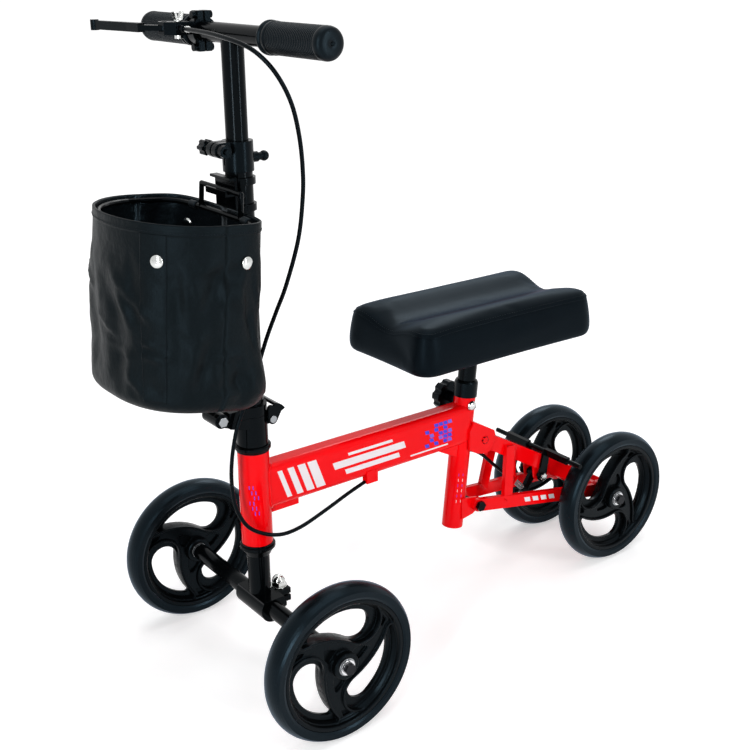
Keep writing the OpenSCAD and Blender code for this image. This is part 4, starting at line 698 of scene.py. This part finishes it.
def lay_weave(made, n, apart, runs):
    """Lays the weave over rows of n points so far apart, each row at its own run down the cloth."""
    cloth = made.data.uv_layers.new(name="cloth")
    for polygon in made.data.polygons:
        spots = [divmod(i, n) for i in polygon.vertices]
        columns = [k for _, k in spots]
        lap = n if max(columns) - min(columns) > n // 2 else 0
        for loop, (row, k) in zip(polygon.loop_indices, spots):
            cloth.data[loop].uv = ((k + (lap if k < n // 2 else 0)) * apart * MM, runs[row] * MM)


def bag_shell():
    """The bag's cloth: canvas outside from the foot to the crest of the hem, and lining inside."""
    turns, girth = even_turns(AROUND)
    hem = BAG.hem
    rows = [(0, d) for d in (0, 1.2, 3, 6, 9, hem - 0.8, hem, hem + 0.5, hem + 2, hem + 5)]
    rows += [(0, hem + 5 + (LOW - hem - 5) * i / 36) for i in range(1, 37)]
    for i in range(1, 9):
        a = pi / 2 * i / 8
        rows.append((BAG.edge * (1 - cos(a)), LOW + BAG.edge * sin(a)))

    def ring(depth, drop, inset):
        spots = [bag_plan(turn, inset - bag_swell(in_degrees(turn), depth), depth) for turn in turns]
        return [bag_point(*p, -drop) for p in spots]

    def floor_ring(depth, scale):
        spots = [bag_plan(turn, BAG.edge, depth) for turn in turns]
        return [bag_point(BAG.mid + (p.x - BAG.mid) * scale, p.y * scale, -depth) for p in spots]

    inside_foot = BAG.height - BAG.wall
    outer = [ring(depth, depth, inset - (BAG.hem_lift if depth <= hem else 0)) for inset, depth in rows]
    inner = [ring(depth, min(depth, inside_foot), inset + BAG.wall) for inset, depth in rows]
    crest = [bag_plan(turn, BAG.wall / 2 - 0.4) for turn in turns]
    drops = [depth for _, depth in rows]
    for scale in (0.7, 0.4, 0.15):
        drops.append(drops[-1] + 25)
        outer.append(floor_ring(BAG.height, scale))
        inner.append(floor_ring(inside_foot, scale))
    rings = outer[::-1] + [[bag_point(*p, 0.9) for p in crest]] + inner
    shell = piece("basket_bag_cloth", *skin(rings), bag_canvas)
    shell.data.materials.append(bag_lining)
    lining = (len(outer) + 1) * AROUND
    for polygon in shell.data.polygons:
        if min(polygon.vertices) >= lining:
            polygon.material_index = 1
    lay_weave(shell, AROUND, girth / AROUND, drops[::-1] + [0] + drops)
    return shell


bag = bag_shell()
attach(bag, "stem")
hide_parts("basket_bag")


def on_bag(degrees, depth, lift):
    """A point on the bag's outside, its way out and its way round."""
    def spot(turn, down):
        hem = BAG.hem_lift if down <= BAG.hem else 0
        p = bag_plan(radians(turn), -bag_swell(turn, down) - lift - hem, down)
        return bag_point(*p, -down)
    here, along, below = spot(degrees, depth), spot(degrees + 0.5, depth), spot(degrees, depth + 0.5)
    return here, (along - here).cross(here - below).normalized(), (along - here).normalized()


def strip_edge(side, depth):
    return STRIP_TOP[side] + (STRIP_FOOT[side] - STRIP_TOP[side]) * depth / BAG.height


def sewn_strip():
    """The binding strip down the front of the bag, folded under at both edges."""
    rows = 64
    # Share of the way across, and height over the bag
    across = [(0, 0.05), (0.012, 0.8), (0.05, 1), (0.2, 0.85), (0.4, 0.85), (0.6, 0.85), (0.8, 0.85), (0.95, 1),
              (0.988, 0.8), (1, 0.05)]
    n = len(across)
    points, faces = [], []
    for i in range(rows + 1):
        depth = BAG.hem + 0.5 + (BAG.height - 8 - BAG.hem) * i / rows
        for t, lift in across:
            turn = strip_edge(0, depth) * (1 - t) + strip_edge(1, depth) * t
            points.append(on_bag(turn, min(depth, LOW + 2), lift)[0])
    for i in range(rows):
        for j in range(n - 1):
            faces.append((i * n + j, i * n + j + 1, (i + 1) * n + j + 1, (i + 1) * n + j))
    made = piece("basket_strip", points, faces, bag_canvas, "stem", "canvas")
    lay_weave(made, n, 3, [3 * i for i in range(rows + 1)])
    return made


def wire_sleeves():
    """Two short sleeves, sewn round the wire at the back."""
    radii = [4 * MM] + [4.5 * MM, 4.3 * MM] * 4
    power, reach = BAG.square, BAG.mid - WIRE_IN
    shapes = []
    for low, high in ((-66, -54), (50, 64)):
        path = []
        for i in range(len(radii)):
            y = low + (high - low) * i / (len(radii) - 1)
            share = abs(y) / (BAG.half_y - WIRE_IN)
            path.append(bag_point(BAG.mid - reach * (1 - share ** power) ** (1 / power), y, -WIRE_DOWN))
        shapes.append(skin(tube(path, radii, 16)))
    return piece("basket_wire_sleeves", *merged(shapes), sewing_thread, "stem", "canvas")


def bag_stitching():
    """Stitches round the hem and down both edges of the strip."""
    runs = []
    for turn in even_turns(190)[0]:
        here, out, along = on_bag(in_degrees(turn), BAG.hem - 2.2, 0.1)
        runs.append((here, along, out))
    for side, inward in ((0, 0.9), (1, -0.9)):
        for k in range(52):
            depth = BAG.hem + 3 + k * 3.3
            here, out, _ = on_bag(strip_edge(side, depth) + inward, depth, 0.95)
            below = on_bag(strip_edge(side, depth + 1) + inward, depth + 1, 0.95)[0]
            runs.append((here, (below - here).normalized(), out))
    return stitches("basket_stitching", runs, 2.2 * MM, 0.32 * MM, "stem", "canvas")


def snap(name, degrees, depth, inside=False):
    """A pressed snap cap: a shallow dome with a rolled edge on the cloth."""
    here, out, _ = on_bag(degrees, depth, -BAG.wall if inside else 0.8)
    profile = [(0.02, 2.6), (2.6, 2.5), (4.8, 2.1), (6.2, 1.5), (6.9, 1), (7.2, 0.4), (6.9, -0.3), (0.02, -0.5)]
    return turned_piece(name, profile, here, -out if inside else out, 32, chrome_plate, "stem", "chrome")


strip = sewn_strip()
sleeves = wire_sleeves()
thread = bag_stitching()
snaps = [snap("basket_snap_a", 44.4, 38), snap("basket_snap_b", 98.3, 40), snap("basket_snap_c", 211.9, 32, True)]


# Wheel rims: lengths in millimetres

WHEEL = Sizes(lip_r=84, lip=14, step=5, open_ro=67, open_ri=29, tip=4, start=-56, sweep=68, rib=25, rib_t=3, rib_w=20,
              rib_gap=6, rib_tip=5, web=6, spoke=14, hub=17, hub_w=31, bearing=11.05, bearing_w=7, bore=6, hollow=95)
RIM_TURNS, RIM_SIDES = (0, 120, 240), 96
PLATE_EDGE, RIB_EDGE = 0.8, 0.7

# Corners of the hollows in a spoke: distance from the axle, angle from the opening's round end
HUB_HOLLOW = [(18.8, -26), (23.5, -28), (29, -34), (36, -48), (37, -51), (35.5, -54), (26, -66), (18.8, -77)]
RIM_HOLLOW = [(73, -26.5), (73, -35), (64, -37.5), (64, -33.5)]

# How each rim lies in the photograph: which face is outward, and how many degrees it has rolled
RIM_LAY = {"fl": (1, 0), "fr": (1, 0), "rl": (-1, 33), "rr": (-1, 43)}


def bearing_of(v):
    return in_degrees(atan2(v.y, v.x))


def comma(ro, start, round_r, end, tip, grow):
    """A comma-shaped loop in the circle ro: a round head at start, a tail to end, a hollow flank to the hub."""
    hollow = WHEEL.hollow
    head, tail = polar(ro - round_r, start), polar(ro - tip, end)
    a, b = round_r + hollow, tip + hollow
    way = tail - head
    d = way.length
    way = way / d
    along = (a * a - b * b + d * d) / (2 * d)
    side = Vector((-way.y, way.x)) * sqrt(a * a - along * along)
    flank = min((head + way * along + side, head + way * along - side), key=lambda p: p.length)
    leave = end + (bearing_of(flank - tail) - end) % 360
    meet = start + 360 - (start - bearing_of(flank - head)) % 360
    first = bearing_of(tail - flank)
    turn = (first - bearing_of(head - flank)) % 360
    return (arc(Vector((0, 0)), ro + grow, start, end, 20)[:-1] + arc(tail, tip + grow, end, leave, 8)[:-1]
            + arc(flank, hollow - grow, first, first - turn, 14)[:-1]
            + arc(head, round_r + grow, meet, start + 360, 20)[:-1])


def plate(loops, thick, edge):
    """A flat plate with holes, lying on the wheel's middle plane, with softened edges."""
    curve = bpy.data.curves.new("plate", "CURVE")
    curve.dimensions, curve.fill_mode = "2D", "BOTH"
    curve.extrude, curve.offset = (thick / 2 - edge) * MM, -edge * MM
    curve.bevel_depth, curve.bevel_resolution = edge * MM, 2
    for loop in loops:
        spline = curve.splines.new("POLY")
        spline.points.add(len(loop) - 1)
        for spot, p in zip(spline.points, loop):
            spot.co = (p.x * MM, p.y * MM, 0, 1)
        spline.use_cyclic_u = True
    holder = bpy.data.objects.new("plate", curve)
    mesh = bpy.data.meshes.new_from_object(holder)
    points = [v.co.copy() for v in mesh.vertices]
    faces = [tuple(f.vertices) for f in mesh.polygons]
    bpy.data.objects.remove(holder)
    bpy.data.curves.remove(curve)
    bpy.data.meshes.remove(mesh)
    return points, faces


def rim_shape():
    """A rim round Z: a stepped ring, three curved spokes with ribs beside the openings, and a hub."""
    w = WHEEL
    lip_r, lip, hub_face = w.lip_r, w.lip, w.hub_w / 2
    inner, floor, bearing_floor = w.open_ro + 6, lip - w.step, hub_face - w.bearing_w
    start, end, gap = w.start, w.start + w.sweep, w.rib_gap

    def turned_by(a, *loops):
        c, s = cos(radians(a)), sin(radians(a))
        return [[Vector((p.x * c - p.y * s, p.x * s + p.y * c)) for p in loop] for loop in loops]

    def whole_circle(r):
        return arc(Vector((0, 0)), r, 0, 360, RIM_SIDES)[:-1]

    opening = comma(w.open_ro, start, (w.open_ro - w.open_ri) / 2, end, w.tip, 0)
    rib_out, rib_in = (comma(lip_r - gap, start - gap, w.rib, end + gap, w.rib_tip, grow) for grow in (w.rib_t, 0))
    hollows = [[polar(r, start + a) for r, a in corners] for corners in (HUB_HOLLOW, RIM_HOLLOW)]
    web, spokes = [whole_circle(inner + 1)], [whole_circle(lip_r - 4.5)]
    for a in RIM_TURNS:
        web += turned_by(a, opening)
        spokes += turned_by(a, rib_in, *hollows)
    shapes = [plate(web, w.web, PLATE_EDGE), plate(spokes, w.spoke, PLATE_EDGE)]
    shapes += [plate(turned_by(a, rib_out, rib_in), w.rib_w, RIB_EDGE) for a in RIM_TURNS]
    # Half the section of the ring and of the hub: distance from the axle, and height over the middle plane
    ring = [(inner, w.web / 2 - 0.5), (inner + 1.2, floor - 3), (inner + 3, floor - 1.2), (lip_r - 7.6, floor),
            (lip_r - 6.4, floor + 0.5), (lip_r - 5.4, lip - 0.8), (lip_r - 4.4, lip), (lip_r - 0.6, lip)]
    hub = [(w.bore, bearing_floor), (w.bearing, bearing_floor), (w.bearing, hub_face - 0.5),
           (w.bearing + 0.5, hub_face), (w.hub - 1.2, hub_face), (w.hub, hub_face - 1.2)]
    for half in (ring, hub):
        section = half + [(r, -h) for r, h in reversed(half)]
        shapes.append(skin(turned(section, Vector((0, 0, 0)), (0, 0, 1), RIM_SIDES), shut=True))
    return merged(shapes)


def wheel_rims():
    points, faces = rim_shape()
    for corner, (face, rolled) in RIM_LAY.items():
        hub = middle("rim_" + corner) * MM
        along, across = polar(1, rolled)
        placed = []
        for p in points:
            rear, up = face * p.x * along - p.y * across, face * p.x * across + p.y * along
            placed.append(hub + Vector((-rear, face * p.z, up)))
        made = piece("wheel_rim_" + corner, placed, faces, black_nylon, "wheel_" + corner, "moulded_black")
        made.data.set_sharp_from_angle(angle=radians(32))
        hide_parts("rim_" + corner)


wheel_rims()


# Handlebar grips

def handlebar_grips():
    """Rubber grips: two flange rings, close rounded ribs, and a domed end with a vent hole."""
    flange = [(11.3, 0.3), (17.4, 0.3), (18, 0.9), (18, 3.4), (17.4, 4), (16.2, 4.6), (16, 7.2), (16.6, 8.2),
              (17.4, 8.6), (17.5, 12.4), (16.8, 13.2)]
    rib = ((0, 16.1), (0.14, 16.75), (0.35, 17), (0.6, 17), (0.81, 16.75), (0.95, 16.1))
    first, last, count = 15, 101, 28
    pitch = (last - first) / count
    ribs = [(r, first + pitch * (i + share)) for i in range(count) for share, r in rib]
    dome = [(16.9, 101.4), (17.2, 102.2), (17.2, 105), (16.7, 107.4), (15.6, 109.4), (13.6, 111), (10.5, 111.8),
            (6, 112), (2.6, 112), (2.1, 111.6), (2, 109.5), (0.02, 109.4)]
    for side, label in SIDES:
        node = "grip_" + label
        low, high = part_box(node)
        centre = middle(node) * MM
        start = Vector((centre.x, low[1] if side > 0 else high[1], centre.z))
        made = turned_piece("bar_grip_" + label, flange + ribs + dome, start, (0, side, 0), 64, grip_rubber, "bar",
                            "grip_rubber")
        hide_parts(node)


handlebar_grips()


# Small fittings on the frame: lengths in millimetres

SEAT_TUBE_FOOT, SEAT_TUBE_R, SEAT_TUBE_LEAN = (-323, 103), 15, radians(6)
HEAD_TUBE_FOOT, HEAD_TUBE_R = (0, 185), 19.75


def bolt_caps(name, x, z, start, high, flats, material, slot):
    """Hexagon bolt heads with chamfered crowns, a little over the plain heads of the frame's solids."""
    over, side_cut, crown_cut = 0.12, 0.6, 0.8
    r = flats / 2 / cos(radians(30))
    profile = [(r + over, 0), (r + over, high - side_cut), (r - crown_cut, high + over), (0.02, high + over)]
    heads = [skin(turned(profile, at(x, side * start, z), (0, side, 0), 6)) for side in (-1, 1)]
    piece(name, *merged(heads), material, "frame", slot, smooth=False)


bolt_caps("upper_bracket_bolt_caps", -365, 230.5, 19.35, 2, 10, red_enamel, "red_paint")
bolt_caps("brake_pivot_bolt_caps", -482, 140, 20.8, 3.5, 11, chrome_plate, "chrome")


def seat_nut():
    """The chrome domed nut on the seat tube's left side, over the end of the knob's bolt."""
    up, aside = 185, 15.3
    x, z = SEAT_TUBE_FOOT
    centre = at(x - up * sin(SEAT_TUBE_LEAN), aside, z + up * cos(SEAT_TUBE_LEAN))
    profile = [(6.9, 0.02), (6.9, 0.9), (6.55, 1), (6.4, 2.4), (5.4, 3.7), (3.8, 4.5), (2, 4.9), (0.02, 5)]
    turned_piece("seat_bolt_nut", profile, centre, (0, 1, 0), 24, chrome_plate, "seat_clamp_knob", "chrome")


seat_nut()


def weld_beads():
    """The weld round the main tube where it meets the head tube: a rippled bead under the paint."""
    half_y, half_z, corner, middle_z = 16, 29, 9, 259
    step, sunk, bead_r, ripple, ripple_rate = 0.9, 0.4, 1.7, 0.25, 1.6
    outline, fine = [], []
    for cy, cz, turn in ((1, 1, 0), (-1, 1, 90), (-1, -1, 180), (1, -1, 270)):
        centre = Vector((cy * (half_y - corner), middle_z + cz * (half_z - corner)))
        outline += arc(centre, corner, turn, turn + 90, 8)
    for p, q in zip(outline, outline[1:] + outline[:1]):
        steps = max(1, round((q - p).length / step))
        fine += [p + (q - p) * i / steps for i in range(steps)]
    line = [at(-sqrt(HEAD_TUBE_R * HEAD_TUBE_R - y * y) - sunk, y, z) for y, z in fine]
    radii = [(bead_r + ripple * sin(i * ripple_rate)) * MM for i in range(len(line))]
    rod("head_tube_weld", line, radii, 8, red_enamel, "frame", "red_paint", shut=True)


weld_beads()


def ferrules():
    """Metal end caps on the cable's casing, at the lever and at the cable stop."""
    profile = [(2.6, 0), (3.5, 0.3), (3.5, 9), (3.1, 9.6), (2.6, 9.8)]
    turned_piece("lever_cable_ferrule", profile, at(*BAR_ROUTE[0]), (0, 1, 0), 20, chrome_plate, "bar", "chrome")
    lead = Vector(REAR_ROUTE[-2]) - Vector(REAR_ROUTE[-1])
    turned_piece("stop_cable_ferrule", profile, at(*REAR_ROUTE[-1]), lead, 20, chrome_plate, "frame", "chrome")


ferrules()


# Transfers on the paint: plain bars, dashes and specks, in place of lettering; lengths in millimetres

FILM = 0.12            # height of a transfer over the paint


def flat_shapes(name, outlines, spot, material):
    """Thin printed shapes on the frame: outlines, put on a surface by spot(u, v)."""
    shapes = [([spot(u, v) for u, v in outline], [range(len(outline))]) for outline in outlines]
    piece(name, *merged(shapes), material, "frame", "red_paint", smooth=False)


def slanted(u, v, wide, tall, lean=0.35):
    """A leaning bar with its lower left corner at (u, v)."""
    return [(u, v), (u + wide, v), (u + wide + lean * tall, v + tall), (u + lean * tall, v + tall)]


def main_tube_transfers():
    """Broad bars, and a loose field of dashes and specks, on both sides of the main tube."""
    low, half_y = 239, 16
    white = [slanted(-95 + 17 * i, low + 0.5, 13.5 - 2.2 * i, 39) for i in range(4)]
    white += [slanted(-216, low + 6, 88, 7), slanted(-226, low + 17, 116, 10), slanted(-204, low + 31, 72, 4)]
    white += [slanted(-300, low + 1, 66, 2.2)]
    blue, violet = [], []
    for j in range(5):
        for i in range(6):
            if (i * 3 + j * 2) % 7 < 6 - i * 0.8:
                field = blue if (i + 2 * j) % 4 else violet
                field.append(slanted(-307 + 8 * i, low + 6 + 6.6 * j, 6.8, 5.4))
    for side, label in SIDES:
        def spot(u, v):
            return at(u, side * (half_y + FILM), v)
        flat_shapes(f"main_tube_bars_{label}", white, spot, white_film)
        flat_shapes(f"main_tube_dashes_{label}", blue, spot, blue_film)
        flat_shapes(f"main_tube_specks_{label}", violet, spot, violet_film)


def round_tube_transfers():
    """Dashes on the head tube's side and on the seat tube, bent round each tube."""
    def wrapped(radius, foot, lean):
        x, z = foot

        def spot(u, v):
            a = radians(90) - u / radius
            ahead, aside = (radius + FILM) * cos(a), (radius + FILM) * sin(a)
            return at(x - v * sin(lean) + ahead * cos(lean), aside, z + v * cos(lean) + ahead * sin(lean))
        return spot
    dashes = [slanted(6 + 3 * (i % 3), 44 + 7 * i, 6, 5, 0) for i in range(6)]
    flat_shapes("head_tube_dashes", dashes, wrapped(HEAD_TUBE_R, HEAD_TUBE_FOOT, 0), blue_film)
    seat = wrapped(SEAT_TUBE_R, SEAT_TUBE_FOOT, SEAT_TUBE_LEAN)
    bars = [slanted(2, 40 + 8 * i, 7, 4, 0) for i in range(6)]
    flat_shapes("seat_tube_dashes", bars[::2], seat, white_film)
    flat_shapes("seat_tube_specks", bars[1::2], seat, blue_film)


def arm_transfers():
    """Short white bars on the outer face of each lower arm."""
    front, run, spread, drop = (-353, 24.3, 133.5), 224, 24.2, 33.5
    lift = 0.25                        # over the arm's outer face
    bars = [slanted(92 + 15 * i, -3.6, -10, 7.2, -0.3) for i in range(4)]
    for side, label in SIDES:
        def spot(u, v):
            share = u / run
            return at(front[0] - u, side * (front[1] + spread * share + lift), front[2] - drop * share + v)
        flat_shapes(f"arm_bars_{label}", bars, spot, white_film)


main_tube_transfers()
round_tube_transfers()
arm_transfers()


# Floor, backdrop and lamps: metres

WHITE, FLOOR_HALF = (1, 1, 1, 1), 40
AIM = Vector((0, 0, 0.35))             # what the lamps point at
# Name, place, width, height, watts
LAMPS = (("overhead", (0, 0.1, 2.9), 2.4, 2, 26), ("key_strip", (2, 1.2, 1), 0.2, 1.9, 30),
         ("side_strip", (-0.7, 2.4, 1), 0.16, 1.9, 25), ("back", (-1.7, -1.6, 2), 1, 1, 14))


def seen_directly(tree):
    """1 for what is seen straight, mirrored or through something clear, and 0 for the light it scatters."""
    straight, mirrored, through_it = (add(tree, "LightPath", output=f"Is {way} Ray")
                                      for way in ("Camera", "Glossy", "Transmission"))
    return calc(tree, "MAXIMUM", calc(tree, "MAXIMUM", straight, mirrored), through_it)


def studio_floor():
    """White paper under the scooter, which is seen brighter further out than it lights the scooter."""
    material, tree, place = new_material("floor_paper")
    paper = add(tree, "BsdfDiffuse", {"Color": srgb("#f4f4f5")})
    away = add(tree, "VectorMath", {0: place}, output=1, operation="LENGTH")
    level = add(tree, "MapRange", {"Value": away, "From Min": 0.7, "From Max": 3, "To Min": 0.42, "To Max": 0.8})
    white = add(tree, "Emission", {"Color": WHITE, "Strength": level})
    glow = add(tree, "AddShader", {0: paper, 1: white})
    both = add(tree, "MixShader", {0: seen_directly(tree), 1: paper, 2: glow})
    add(tree, "OutputMaterial", {"Surface": both})
    corners = [(x * FLOOR_HALF, y * FLOOR_HALF, 0) for x, y in ((-1, -1), (1, -1), (1, 1), (-1, 1))]
    ground = piece("floor", corners, [(0, 1, 2, 3)], material, smooth=False)


def studio():
    """White all round, one broad lamp overhead, two narrow ones for crisp highlights and a small one behind."""
    studio_floor()
    scene = bpy.context.scene
    scene.world = scene.world or bpy.data.worlds.new("studio")
    scene.world.use_nodes = True
    tree = scene.world.node_tree
    tree.nodes.clear()
    soft, plain = (add(tree, "Background", {"Color": WHITE, "Strength": level}) for level in (0.32, 1))
    both = add(tree, "MixShader", {0: seen_directly(tree), 1: soft, 2: plain})
    add(tree, "OutputWorld", {"Surface": both})
    for name, place, wide, tall, power in LAMPS:
        lamp = bpy.data.lights.new(name, "AREA")
        lamp.shape = "RECTANGLE"
        lamp.energy, lamp.size, lamp.size_y = power, wide, tall
        holder = in_scene(name, lamp)
        holder.location = place
        holder.rotation_euler = (AIM - Vector(place)).to_track_quat("-Z", "Y").to_euler()
    scene.view_settings.view_transform = "Standard"


studio()
